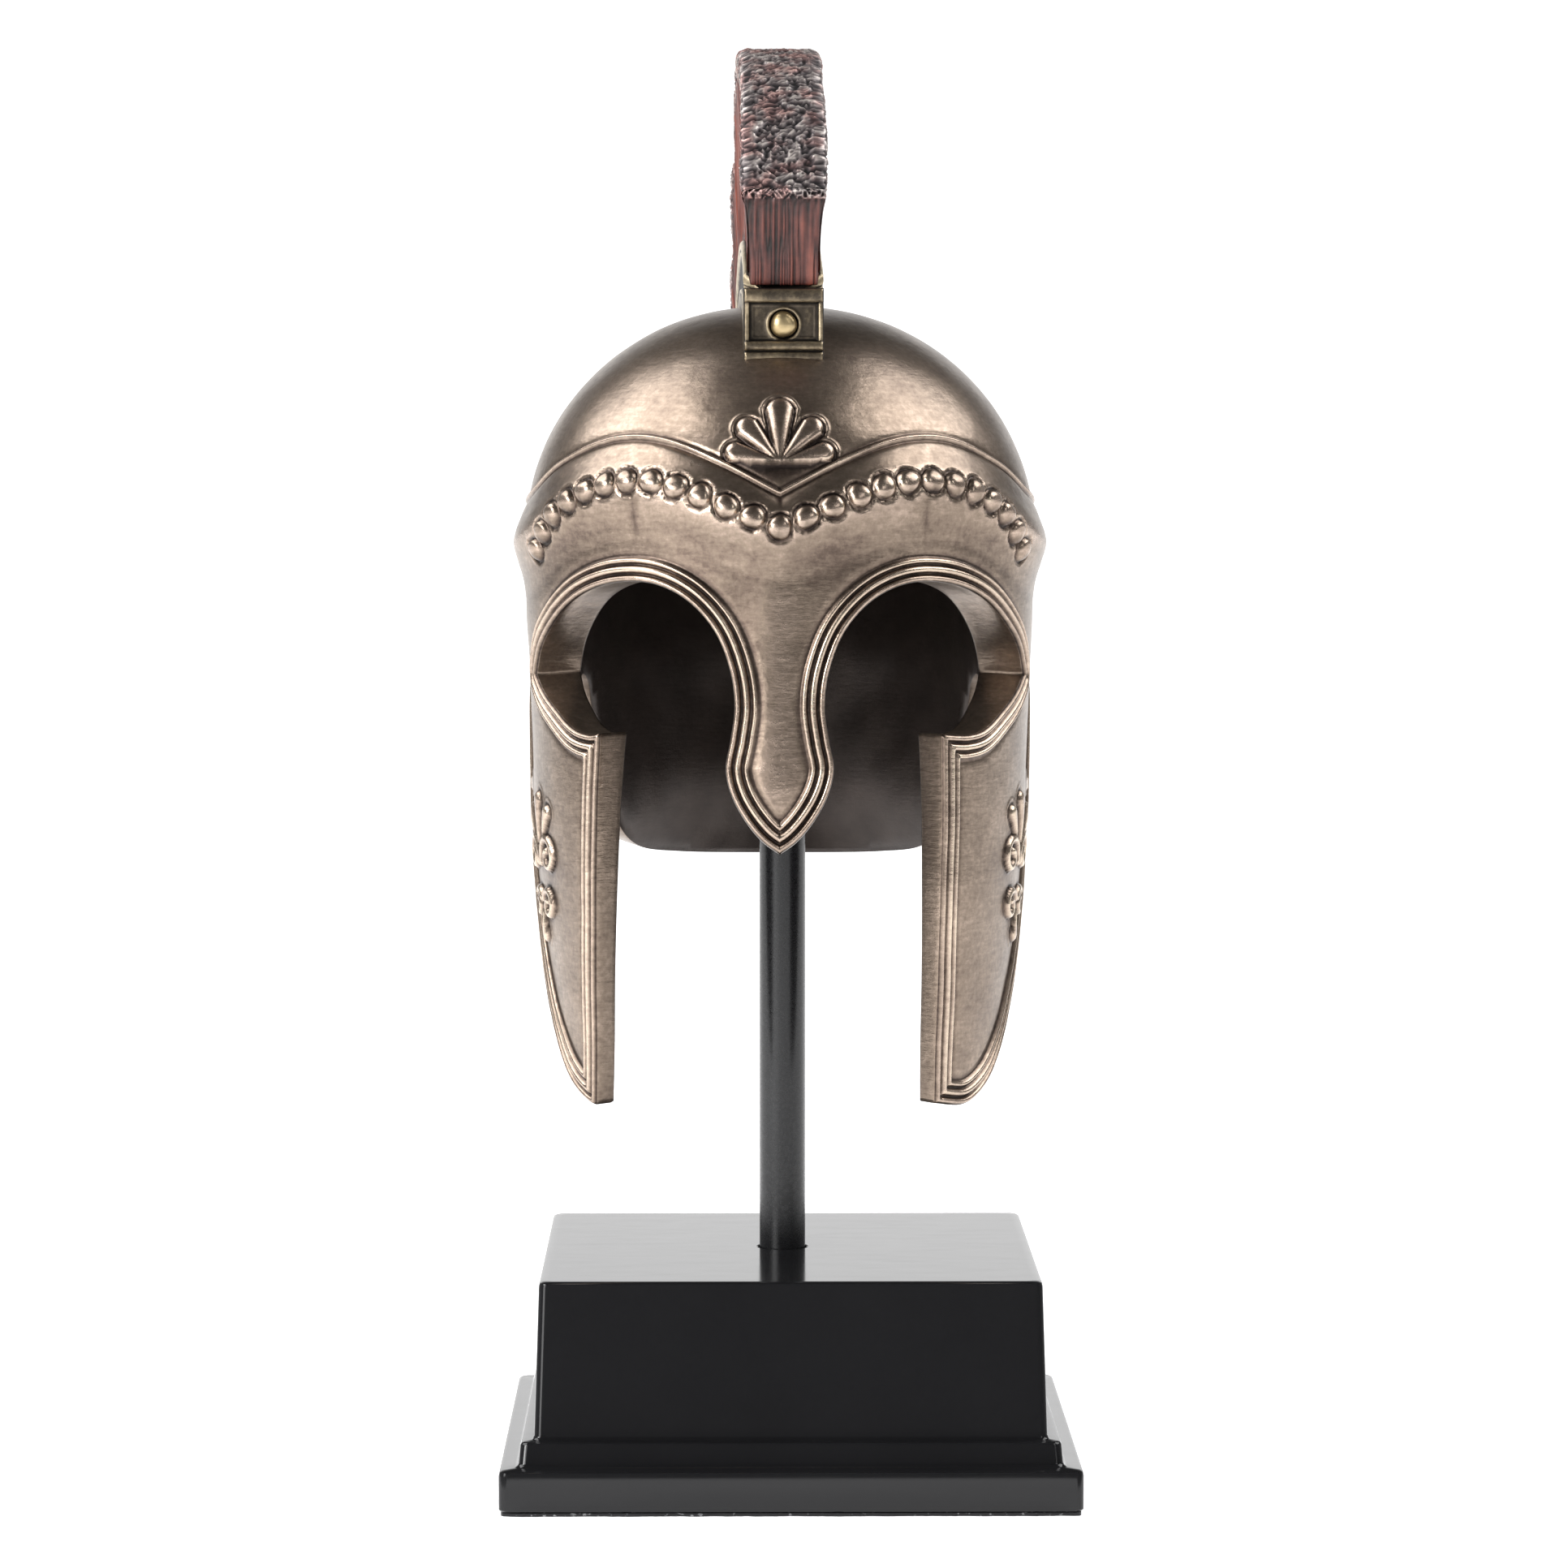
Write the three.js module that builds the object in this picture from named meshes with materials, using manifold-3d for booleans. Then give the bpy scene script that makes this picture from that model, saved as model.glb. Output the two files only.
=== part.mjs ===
// A desk-size Greek bronze helmet with a horsehair crest, on a rod and a black stepped plinth.
// Millimetres, +Z up. The face looks along -Y, and the origin is the middle of the plinth's underside.
import * as THREE from 'three';
import { mergeVertices } from 'three/addons/utils/BufferGeometryUtils.js';
import Module from 'manifold-3d';

const wasm = await Module();
wasm.setup();

// ---------------------------------------------------------------- driving dimensions
const GAP = 0.3; // clear space between neighbouring pieces
const HELMET_SHIFT = -0.5; // the helmet sits a little left of the rod's axis
const BROW_LEVEL = 183.5; // where the skull's dome begins
const DOME_RISE = 44.2; // the dome above the brow level
const DOME_SETBACK = 8; // how far the dome's top lies behind the rod
const DOME_FULLNESS = 0.95; // below 1 fills the dome's shoulders
const NOMINAL_RADIUS = 50; // turns an angle round the rod into millimetres along the skin
const DOME_TOP = BROW_LEVEL + DOME_RISE * (Math.PI / 2); // the skin's last level, counted along the dome

// The helmet's skin, from the cheek tips to the brow: half width and half depth in front and behind.
const SECTIONS = [
  { level: 66, side: 44.0, front: 49.0, back: 69.0 },
  { level: 85, side: 44.8, front: 49.6, back: 69.0 },
  { level: 100, side: 45.9, front: 50.6, back: 69.0 },
  { level: 116, side: 47.0, front: 52.0, back: 67.0 },
  { level: 124, side: 47.5, front: 51.6, back: 63.4 },
  { level: 132, side: 47.9, front: 51.2, back: 62.2 },
  { level: 142, side: 48.2, front: 50.6, back: 64.2 },
  { level: 155, side: 48.7, front: 49.9, back: 67.8 },
  { level: 168, side: 49.3, front: 49.2, back: 70.2 },
  { level: 183.5, side: 49.4, front: 49.0, back: 71.0 },
];

// Wall thickness of the casting, thickest at the temples.
const WALLS = [
  { level: 66, wall: 3.6 },
  { level: 100, wall: 4.4 },
  { level: 130, wall: 5.7 },
  { level: 146, wall: 6.8 },
  { level: 157, wall: 8.7 },
  { level: 170, wall: 8.4 },
  { level: 184, wall: 7.0 },
  { level: 200, wall: 6.5 },
];

// The helmet's cut edge, in degrees from the nose and level. The metal lies on the left of each run.
const EYE_EDGE = [
  { deg: 0, level: 124.5 },
  { deg: 3.7, level: 126.7 },
  { deg: 7.5, level: 130.4 },
  { deg: 10.8, level: 135.4 },
  { deg: 12.1, level: 140.3 },
  { deg: 10.9, level: 146.0 },
  { deg: 10.0, level: 152.0 },
  { deg: 10.9, level: 158.6 },
  { deg: 14.3, level: 166.0 },
  { deg: 20.5, level: 171.7 },
  { deg: 28.4, level: 174.7 },
  { deg: 38.2, level: 174.9 },
  { deg: 50.2, level: 172.1 },
  { deg: 62.2, level: 166.0 },
  { deg: 70.2, level: 160.6 },
  { deg: 73.8, level: 156.4 },
];
const CHEEK_TOP = [
  { deg: 73.8, level: 156.4 },
  { deg: 69.5, level: 153.7 },
  { deg: 61.5, level: 150.0 },
  { deg: 53.5, level: 146.6 },
  { deg: 47.5, level: 145.8 },
  { deg: 42.0, level: 146.2 },
];
const CHEEK_FRONT = [
  { deg: 42.0, level: 146.2 },
  { deg: 46.6, level: 76.0 },
];
const REAR_EDGE = [
  { deg: 46.6, level: 76.0 },
  { deg: 52.0, level: 75.0 },
  { deg: 58.0, level: 76.3 },
  { deg: 65.0, level: 79.7 },
  { deg: 72.0, level: 85.8 },
  { deg: 78.0, level: 93.5 },
  { deg: 84.0, level: 104.0 },
  { deg: 89.5, level: 117.0 },
  { deg: 93.0, level: 130.0 },
  { deg: 95.5, level: 143.0 },
  { deg: 98.5, level: 150.5 },
  { deg: 103.5, level: 154.6 },
  { deg: 109.0, level: 153.2 },
  { deg: 114.5, level: 147.5 },
  { deg: 120.0, level: 139.0 },
  { deg: 125.0, level: 129.5 },
  { deg: 130.0, level: 123.0 },
  { deg: 137.0, level: 119.6 },
  { deg: 150.0, level: 118.4 },
  { deg: 180.0, level: 118.2 },
];
const NOTCH_SPLIT_DEG = 116; // where the cutter under the rear edge is made in two parts
// The two cheek guards are not cast quite alike: the left one stands back, the right one forward.
const CHEEK_SKEW = { top: 2.6, bottom: 5.2 };

// Three ribs along the whole edge: distance in from the edge, height above the skin.
const MOULDING = [
  { inward: 0.2, height: -1.0 },
  { inward: 0.6, height: 0.8 },
  { inward: 1.65, height: 0.15 },
  { inward: 2.5, height: 0.85 },
  { inward: 3.35, height: 0.15 },
  { inward: 4.2, height: 0.8 },
  { inward: 4.9, height: 0.1 },
  { inward: 4.9, height: -1.0 },
];

// The brow band: its upper border, and the ridge where it flares out furthest.
const BAND_BORDER = [
  { deg: 0, level: 192.0 },
  { deg: 12.8, level: 197.6 },
  { deg: 25.9, level: 201.7 },
  { deg: 37, level: 202.9 },
  { deg: 47.2, level: 201.8 },
  { deg: 63.2, level: 197.1 },
  { deg: 75, level: 192.6 },
  { deg: 90, level: 189.5 },
  { deg: 115, level: 185.5 },
  { deg: 140, level: 182.0 },
];
const BAND_RIDGE = [
  { deg: 0, level: 185.6 },
  { deg: 12, level: 189.6 },
  { deg: 24, level: 193.0 },
  { deg: 34, level: 193.9 },
  { deg: 45, level: 192.6 },
  { deg: 56, level: 189.4 },
  { deg: 67, level: 185.4 },
  { deg: 80, level: 182.8 },
  { deg: 100, level: 181.5 },
  { deg: 140, level: 181.0 },
];
const BAND_SIDE_START = 95; // degrees; behind this the band sinks back into the skull
const BAND_END = 140;
const BAND_STATIONS = 33;
// Across the band: share of the way from the border to the ridge, millimetres below that, height.
const BAND_PROFILE = [
  { share: 0, below: -1.0, height: -0.3 },
  { share: 0, below: 0, height: 1.2 },
  { share: 0, below: 1.3, height: 0.6 },
  { share: 0.55, below: 0, height: 1.4 },
  { share: 0.85, below: 0, height: 2.35 },
  { share: 1, below: 1.0, height: 2.6 },
  { share: 1, below: 4.5, height: 1.5 },
  { share: 1, below: 9.0, height: -0.3 },
  { share: 1, below: 9.0, height: -2.6 },
  { share: 0, below: -1.0, height: -2.6 },
];

// The row of beads: one over the nose and twelve towards each temple.
const BEAD_LINE = [
  { deg: 0, level: 185.4 },
  { deg: 12, level: 189.4 },
  { deg: 24, level: 192.9 },
  { deg: 34, level: 193.7 },
  { deg: 45, level: 192.1 },
  { deg: 56, level: 188.2 },
  { deg: 67.2, level: 180.5 },
];
const BEADS_EACH_SIDE = 12;
const BEAD = { radius: 2.2, rise: 1.3, ground: 1.9, sides: 6 };

// The palmette over the nose: petals fanned out from one point.
const PALMETTE_ROOT = { deg: 0, level: 198.6 };
const PETALS = [
  { turn: 0, from: 1.5, to: 13.0, width: 2.7 },
  { turn: 42, from: 2.0, to: 11.2, width: 2.3 },
  { turn: -42, from: 2.0, to: 11.2, width: 2.3 },
  { turn: 80, from: 2.0, to: 10.6, width: 2.2 },
  { turn: -80, from: 2.0, to: 10.6, width: 2.2 },
];
const PETAL_RISE = 1.1;

// The ornament on each cheek guard: a palmette over two pairs of scrolls, and a drop below.
const CHEEK_ORNAMENT = { deg: 73, level: 119 };
const CHEEK_SCROLLS = [
  { x: 4.9, z: 2.5, radius: 4.1, start: 200 },
  { x: 3.7, z: -7.0, radius: 3.1, start: 160 },
];
const CHEEK_PETALS = [
  { turn: 0, from: 5.0, to: 15.0, width: 1.9 },
  { turn: 28, from: 6.5, to: 14.0, width: 1.6 },
  { turn: -28, from: 6.5, to: 14.0, width: 1.6 },
  { turn: 180, from: 8.0, to: 14.5, width: 1.6 },
];
const SCROLL = { steps: 9, turns: 1.0, closing: 0.7, halfWidth: 0.8, sunk: -1 };
const CHEEK_RISE = 1.0;

// The boss inside the crown, and the rod that it sits on.
const ROD = { radius: 4.48, bottom: 38.0, top: 211.5 };
const BOSS = { radius: 9, bottom: 196, top: 223, boreTop: 212 };

// The crest holder: a channel along the top of the skull.
const CREST_TURN = 1.5; // degrees; the crest is set on slightly turned
const HOLDER = { halfWidth: 7.6, height: 12.6, frontY: -28.7, frontLevel: 207, rearLevel: 166 };
const HOLDER_PANEL = { halfWidth: 6.5, bottom: 220.0, top: 227.4, depth: 0.9 };
const HOLDER_SIDE = { low: 2.6, high: 9.8, depth: 0.6, frontLevel: 216, rearLevel: 170 };
const STUD = { radius: 2.45, rise: 1.7, shankRadius: 1.2, shankLength: 2.6, z: 223.5 };

// The hair: its root line on the holder and down the nape, and its outer rim.
const HAIR_ROOTS = [
  { behind: false, level: 229.2, height: 13.0 },
  { behind: false, level: 242.0, height: 13.0 },
  { behind: true, level: 248.0, height: 13.0 },
  { behind: true, level: 228.0, height: 13.0 },
  { behind: true, level: 206.0, height: 13.0 },
  { behind: true, level: 186.0, height: 13.0 },
  { behind: true, level: 168.0, height: 13.0 },
  { behind: true, level: 158.0, height: 7.0 },
  { behind: true, level: 148.0, height: 3.4 },
  { behind: true, level: 134.0, height: 3.2 },
];
const HAIR_RIM = [
  { y: -34.5, z: 249.0 },
  { y: -24, z: 262.0 },
  { y: -8, z: 273.2 },
  { y: 10, z: 277.6 },
  { y: 34, z: 274.6 },
  { y: 57, z: 263.0 },
  { y: 78, z: 244.0 },
  { y: 94, z: 218.0 },
  { y: 101, z: 190.0 },
  { y: 101, z: 164.0 },
  { y: 95, z: 143.0 },
  { y: 86, z: 127.0 },
];
const HAIR_LOCKS = 20;
// Across the hair on one side: share of the way from root to rim, half width, how far a lock bulges.
const HAIR_PROFILE = [
  { share: 0, half: 6.8, lock: 0.1 },
  { share: 0.4, half: 6.9, lock: 0.25 },
  { share: 0.75, half: 7.3, lock: 0.35 },
  { share: 0.94, half: 7.7, lock: 0.3 },
  { share: 1.0, half: 6.2, lock: 0.1 },
  { share: 0.985, half: 2.0, lock: 0 },
];

// The plinth, from its underside up: half side at each level.
const PLINTH_STEPS = [
  { z: 0.9, half: 54.6 },
  { z: 1.6, half: 55.0 },
  { z: 7.9, half: 54.6 },
  { z: 8.6, half: 54.0 },
  { z: 8.6, half: 51.9 },
  { z: 9.1, half: 51.3 },
  { z: 12.9, half: 51.0 },
  { z: 13.4, half: 50.6 },
  { z: 13.4, half: 49.0 },
  { z: 14.2, half: 48.4 },
  { z: 42.8, half: 47.5 },
  { z: 43.2, half: 47.1 },
];
const PLINTH_CORNER = 1.6;
const PLINTH_PLACE = { x: 1.2, turn: 0.5 }; // the plinth's middle from the rod, and its turn in degrees
const PLINTH_HOLE = { radius: 4.9, bottom: 37.5 };
const PAD = { half: 54.8, thickness: 0.6 };

const FINISHES = {
  bronze: { color: 0x6b5b4c, metalness: 0.85, roughness: 0.42 },
  agedBrass: { color: 0x6e5f3c, metalness: 0.8, roughness: 0.45 },
  gold: { color: 0xa98a4a, metalness: 0.9, roughness: 0.35 },
  horsehair: { color: 0x5c241b, metalness: 0.0, roughness: 0.7 },
  blackRod: { color: 0x141416, metalness: 0.3, roughness: 0.3 },
  blackPlinth: { color: 0x26262a, metalness: 0.0, roughness: 0.35 },
  felt: { color: 0x101014, metalness: 0.0, roughness: 0.95 },
};

// ---------------------------------------------------------------- tables and curves
const radians = THREE.MathUtils.degToRad;

// A table's value at a level, on a smooth curve through its rows.
function tableValue(table, key, level) {
  const last = table.length - 1;
  if (level <= table[0].level) return table[0][key];
  if (level >= table[last].level) return table[last][key];
  const i = table.findIndex((row) => row.level > level) - 1;
  const slope = (k) => {
    const a = table[Math.max(k - 1, 0)];
    const b = table[Math.min(k + 1, last)];
    return (b[key] - a[key]) / (b.level - a.level);
  };
  const span = table[i + 1].level - table[i].level;
  const t = (level - table[i].level) / span;
  const ends = table[i][key] * (1 + 2 * t) * (1 - t) ** 2 + table[i + 1][key] * t * t * (3 - 2 * t);
  return ends + span * (slope(i) * t * (1 - t) ** 2 - slope(i + 1) * t * t * (1 - t));
}

// A smooth run through rows of degrees and level, as points {angle, level} a given step apart.
function skinRun(rows, step) {
  const knots = rows.map((row) => new THREE.Vector3(radians(row.deg) * NOMINAL_RADIUS, row.level, 0));
  const curve = new THREE.CatmullRomCurve3(knots, false, 'centripetal');
  const count = Math.max(1, Math.round(curve.getLength() / step));
  return curve.getSpacedPoints(count).map((p) => ({ angle: p.x / NOMINAL_RADIUS, level: p.y }));
}

// The level of a run at an angle; the run is the same on both sides of the nose.
function levelOn(run, angle) {
  const side = Math.abs(angle);
  const i = Math.max(1, run.findIndex((p) => p.angle >= side));
  const { angle: a, level: low } = run[i - 1];
  const { angle: b, level: high } = run[i];
  return THREE.MathUtils.lerp(low, high, (side - a) / (b - a));
}

// ---------------------------------------------------------------- the helmet's skin
// A point of the skin: an ellipse at each level, and above the brow an elliptical dome.
function skinBase(angle, level) {
  const depthKey = Math.cos(angle) < 0 ? 'back' : 'front';
  const lift = Math.max(0, level - BROW_LEVEL) / DOME_RISE;
  const reach = Math.max(0, Math.cos(lift)) ** DOME_FULLNESS;
  const side = tableValue(SECTIONS, 'side', level) * reach;
  const depth = tableValue(SECTIONS, depthKey, level) * reach;
  return new THREE.Vector3(
    side * Math.sin(angle),
    DOME_SETBACK * (1 - reach) - depth * Math.cos(angle),
    Math.min(level, BROW_LEVEL) + DOME_RISE * Math.sin(lift),
  );
}

// A point at a height above the skin, along its outward normal.
function skin(angle, level, height) {
  const turn = 1e-3;
  const rise = 0.05;
  const along = skinBase(angle + turn, level).sub(skinBase(angle - turn, level));
  const up = skinBase(angle, level + rise).sub(skinBase(angle, level - rise));
  return along.cross(up).normalize().multiplyScalar(height).add(skinBase(angle, level));
}

// Millimetres along the skin for one radian round the rod.
function arcRadius(angle, level) {
  const turn = 1e-3;
  return skinBase(angle + turn, level).distanceTo(skinBase(angle - turn, level)) / (2 * turn);
}

// A point placed in millimetres from a spot on the skin: x round the helmet, z up it.
function nearSpot(spot, x, z, height) {
  const angle = radians(spot.deg);
  return skin(angle + x / arcRadius(angle, spot.level), spot.level + z, height);
}

// ---------------------------------------------------------------- closed bodies
function signedVolume(points, faces) {
  let sum = 0;
  for (let i = 0; i < faces.length; i += 3) {
    const [a, b, c] = [points[faces[i]], points[faces[i + 1]], points[faces[i + 2]]];
    sum += a.dot(new THREE.Vector3().crossVectors(b, c));
  }
  return sum;
}

// A solid from points and triangles, turned so that its faces point outwards.
function solidFrom(points, faces) {
  if (signedVolume(points, faces) < 0) faces.reverse();
  const vertProperties = new Float32Array(points.flatMap((p) => p.toArray()));
  const triVerts = new Uint32Array(faces);
  return new wasm.Manifold(new wasm.Mesh({ numProp: 3, vertProperties, triVerts }));
}

// A solid from a three.js geometry whose seams are merged.
function solidOf(geometry) {
  geometry.deleteAttribute('normal');
  geometry.deleteAttribute('uv');
  const merged = mergeVertices(geometry, 1e-4);
  const position = merged.getAttribute('position');
  const points = [];
  for (let i = 0; i < position.count; i += 1) {
    points.push(new THREE.Vector3().fromBufferAttribute(position, i));
  }
  return solidFrom(points, Array.from(merged.index.array));
}

// The triangles between rings of equally many points.
function ringFaces(count, across, loop) {
  const faces = [];
  for (let i = 0; i < (loop ? count : count - 1); i += 1) {
    const here = i * across;
    const next = ((i + 1) % count) * across;
    for (let j = 0; j < across; j += 1) {
      const k = (j + 1) % across;
      faces.push(here + j, here + k, next + k, here + j, next + k, next + j);
    }
  }
  return faces;
}

// A skin over rings of equally many points. Open ends are closed by a fan to a tip or to the middle.
function loft(rings, { loop = false, endTip } = {}) {
  const across = rings[0].length;
  const points = rings.flat();
  const faces = ringFaces(rings.length, across, loop);
  const close = (start, tip, flip) => {
    const ring = points.slice(start, start + across);
    const middle = ring.reduce((sum, p) => sum.add(p), new THREE.Vector3()).divideScalar(across);
    points.push(tip ?? middle);
    for (let j = 0; j < across; j += 1) {
      const k = (j + 1) % across;
      faces.push(...(flip ? [start + k, start + j] : [start + j, start + k]), points.length - 1);
    }
  };
  if (!loop) {
    close(0, undefined, true);
    close((rings.length - 1) * across, endTip, false);
  }
  return solidFrom(points, faces);
}

// A body over rings whose two ends are closed by the same flat triangles.
function prismThrough(rings, lid) {
  const across = rings[0].length;
  const top = (rings.length - 1) * across;
  const faces = ringFaces(rings.length, across, false);
  const along = lid.some((face) => face.some((p, i) => face[(i + 1) % 3] === (p + 1) % across));
  lid.forEach((face) => {
    const [p, q, r] = along ? face : [...face].reverse();
    faces.push(q, p, r, top + p, top + q, top + r);
  });
  return solidFrom(rings.flat(), faces);
}

function circle(radius, z, sides) {
  return Array.from({ length: sides }, (_, i) => {
    const turn = (2 * Math.PI * i) / sides;
    return new THREE.Vector3(radius * Math.cos(turn), radius * Math.sin(turn), z);
  });
}

function rod(radius, bottom, top, sides) {
  return loft([circle(radius, bottom, sides), circle(radius, top, sides)]);
}

function boxBetween(low, high) {
  const box = new THREE.Box3(new THREE.Vector3(...low), new THREE.Vector3(...high));
  const size = box.getSize(new THREE.Vector3());
  const centre = box.getCenter(new THREE.Vector3());
  return solidOf(new THREE.BoxGeometry(size.x, size.y, size.z).translate(...centre.toArray()));
}

function joined(solids) {
  return solids.reduce((sum, solid) => sum.add(solid));
}

function evenly(from, to, steps) {
  return Array.from({ length: steps + 1 }, (_, i) => from + ((to - from) * i) / steps);
}

// ---------------------------------------------------------------- the helmet's shell
// The whole skull down to below the cheeks, its surface a given height above the skin.
function skullSolid(columns, levels, heightAt) {
  const ring = (level) => evenly(0, 2 * Math.PI, columns).slice(0, -1)
    .map((angle) => skin(angle, level, heightAt(level)));
  const crown = new THREE.Vector3(0, DOME_SETBACK, BROW_LEVEL + DOME_RISE + heightAt(DOME_TOP));
  return loft(levels.map(ring), { endTip: crown });
}

// A prism that crosses the wall squarely along an outline, from near the rod's axis to far outside.
function wallCutter(outline) {
  const far = 165;
  const near = 3;
  const onRadius = (radius) => outline.map(({ angle, level }) => (
    new THREE.Vector3(radius * Math.sin(angle), -radius * Math.cos(angle), level)));
  const onSkin = (heightAt) => outline.map(({ angle, level }) => skin(angle, level, heightAt(level)));
  const inside = onSkin((level) => -tableValue(WALLS, 'wall', level) - 1);
  const rings = [onRadius(near), inside, onSkin(() => 1), onRadius(far)];
  const flat = outline.map(({ angle, level }) => new THREE.Vector2(angle * NOMINAL_RADIUS, level));
  return prismThrough(rings, THREE.ShapeUtils.triangulateShape(flat, []));
}

// The cut edge of one side, as separate runs; side is 1 on the right of the nose and -1 on the left.
function edgeRuns(side) {
  const skewAt = (level) => THREE.MathUtils.mapLinear(
    level, CHEEK_FRONT[0].level, CHEEK_FRONT[1].level, CHEEK_SKEW.top, CHEEK_SKEW.bottom);
  const moved = (row) => ({ ...row, deg: row.deg - side * skewAt(row.level) });
  const isCorner = (row) => CHEEK_FRONT.some(({ deg, level }) => deg === row.deg && level === row.level);
  const skewed = (rows) => rows.map((row) => (isCorner(row) ? moved(row) : row));
  return {
    eye: skinRun(EYE_EDGE, 4.6),
    cheekTop: skinRun(skewed(CHEEK_TOP), 5),
    cheekFront: skinRun(skewed(CHEEK_FRONT), 24),
    rear: skinRun(skewed(REAR_EDGE), 8),
  };
}

// The whole cut edge as one closed loop, from the nose's tip round the right side and back.
function edgeLoop() {
  const sideRun = (side) => {
    const { eye, cheekTop, cheekFront, rear } = edgeRuns(side);
    return [...eye, ...cheekTop.slice(1), ...cheekFront.slice(1), ...rear.slice(1)];
  };
  const right = sideRun(1);
  const left = sideRun(-1).map(({ angle, level }) => ({ angle: 2 * Math.PI - angle, level }));
  return [...right, ...left.slice(1, -1).reverse()];
}

// The cutters that open the face and shape the cheeks and the neck guard on one side.
function edgeCutters(side) {
  const floor = 60;
  const { eye, cheekTop, cheekFront, rear } = edgeRuns(side);
  const split = radians(NOTCH_SPLIT_DEG);
  const turned = (deg, level) => ({ angle: radians(deg), level });
  const corner = cheekFront.at(-1);
  const inFace = corner.angle - radians(3);
  const front = rear.filter((p) => p.angle < split);
  const behind = rear.filter((p) => p.angle >= split);
  const notchLevel = behind[0].level;
  const outlines = [
    [turned(-2, floor), turned(-2, eye[0].level - 0.5), ...eye, ...cheekTop.slice(1),
      ...cheekFront.slice(1), { angle: corner.angle, level: floor }],
    [{ angle: inFace, level: floor }, { angle: inFace, level: corner.level - 4 }, ...front,
      behind[0], { angle: behind[0].angle, level: floor }],
    [{ angle: split - radians(4), level: floor }, { angle: split - radians(4), level: notchLevel - 8 },
      ...behind, turned(184, rear.at(-1).level), turned(184, floor)],
  ];
  return outlines.map((outline) => wallCutter(
    outline.map(({ angle, level }) => ({ angle: side * angle, level }))));
}

// The edge loop moved into the metal by a distance, along the mitre of its two neighbours.
function insetLoop(loop, distance) {
  const n = loop.length;
  return loop.map((here, i) => {
    const radius = arcRadius(here.angle, here.level);
    const step = (a, b) => {
      const turn = Math.atan2(Math.sin(b.angle - a.angle), Math.cos(b.angle - a.angle));
      return new THREE.Vector2(turn * radius, b.level - a.level).normalize();
    };
    const before = step(loop[(i + n - 1) % n], here);
    const after = step(here, loop[(i + 1) % n]);
    const mitre = new THREE.Vector2(-before.y - after.y, before.x + after.x);
    mitre.multiplyScalar(distance / Math.max(1 + before.dot(after), 0.35));
    return { angle: here.angle + mitre.x / radius, level: here.level + mitre.y };
  });
}

function mouldingSolid() {
  const loop = edgeLoop();
  const lines = MOULDING.map(({ inward, height }) => (
    insetLoop(loop, inward).map(({ angle, level }) => skin(angle, level, height))));
  const rings = loop.map((_, i) => lines.map((line) => line[i]));
  return loft(rings, { loop: true });
}

function bandSolid() {
  const border = skinRun(BAND_BORDER, 2);
  const ridge = skinRun(BAND_RIDGE, 2);
  const end = radians(BAND_END);
  const rings = evenly(-end, end, BAND_STATIONS - 1).map((angle) => {
    const top = levelOn(border, angle);
    const crest = levelOn(ridge, angle);
    const fade = 1 - THREE.MathUtils.smoothstep(Math.abs(angle), radians(BAND_SIDE_START), end);
    return BAND_PROFILE.map(({ share, below, height }) => {
      const level = THREE.MathUtils.lerp(top, crest, share) - below;
      return skin(angle, level, height > 0 ? height * fade - 0.3 * (1 - fade) : height);
    });
  });
  return loft(rings);
}

// One bead: a low dome on the band.
function beadSolid(angle, level) {
  const spot = { deg: THREE.MathUtils.radToDeg(angle), level };
  const ring = (radius, height) => evenly(0, 2 * Math.PI, BEAD.sides).slice(0, -1)
    .map((turn) => nearSpot(spot, radius * Math.cos(turn), radius * Math.sin(turn), height));
  const rings = [ring(BEAD.radius, 0.2), ring(BEAD.radius, BEAD.ground + 0.3),
    ring(BEAD.radius * 0.65, BEAD.ground + BEAD.rise * 0.85)];
  return loft(rings, { endTip: skin(angle, level, BEAD.ground + BEAD.rise) });
}

function beadSolids() {
  const line = skinRun(BEAD_LINE, 0.5);
  const at = (i) => line[Math.round(((line.length - 1) * i) / BEADS_EACH_SIDE)];
  const right = evenly(1, BEADS_EACH_SIDE, BEADS_EACH_SIDE - 1).map(at);
  const left = right.map(({ angle, level }) => ({ angle: -angle, level }));
  return [line[0], ...right, ...left].map(({ angle, level }) => beadSolid(angle, level));
}

// A petal or bud: a teardrop from its root to its round head, its back raised above the skin.
function petalSolid(spot, petal, rise) {
  const widths = [0.12, 0.45, 0.8, 1.0, 0.8];
  const places = [0, 0.3, 0.6, 0.8, 0.95];
  const turn = radians(petal.turn);
  const at = (length, offset, height) => nearSpot(
    spot,
    length * Math.sin(turn) + offset * Math.cos(turn),
    length * Math.cos(turn) - offset * Math.sin(turn),
    height,
  );
  const rings = places.map((place, i) => {
    const length = THREE.MathUtils.lerp(petal.from, petal.to, place);
    const half = petal.width * widths[i];
    return [at(length, -half, -1), at(length, -half, 0.2), at(length, 0, rise), at(length, half, 0.2),
      at(length, half, -1)];
  });
  return loft(rings);
}

// A scroll: a half-round bar on a spiral that closes in on its own eye.
function scrollSolid(spot, scroll, hand) {
  const rings = evenly(0, 1, SCROLL.steps).map((share) => {
    const turn = radians(scroll.start) - 2 * Math.PI * SCROLL.turns * share;
    const radius = scroll.radius * (1 - SCROLL.closing * share);
    const at = (r, height) => nearSpot(
      spot, hand * (scroll.x + r * Math.cos(turn)), scroll.z + r * Math.sin(turn), height);
    const { halfWidth, sunk } = SCROLL;
    return [at(radius - halfWidth, sunk), at(radius - halfWidth, 0.2), at(radius, CHEEK_RISE),
      at(radius + halfWidth, 0.2), at(radius + halfWidth, sunk)];
  });
  return loft(rings);
}

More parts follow.
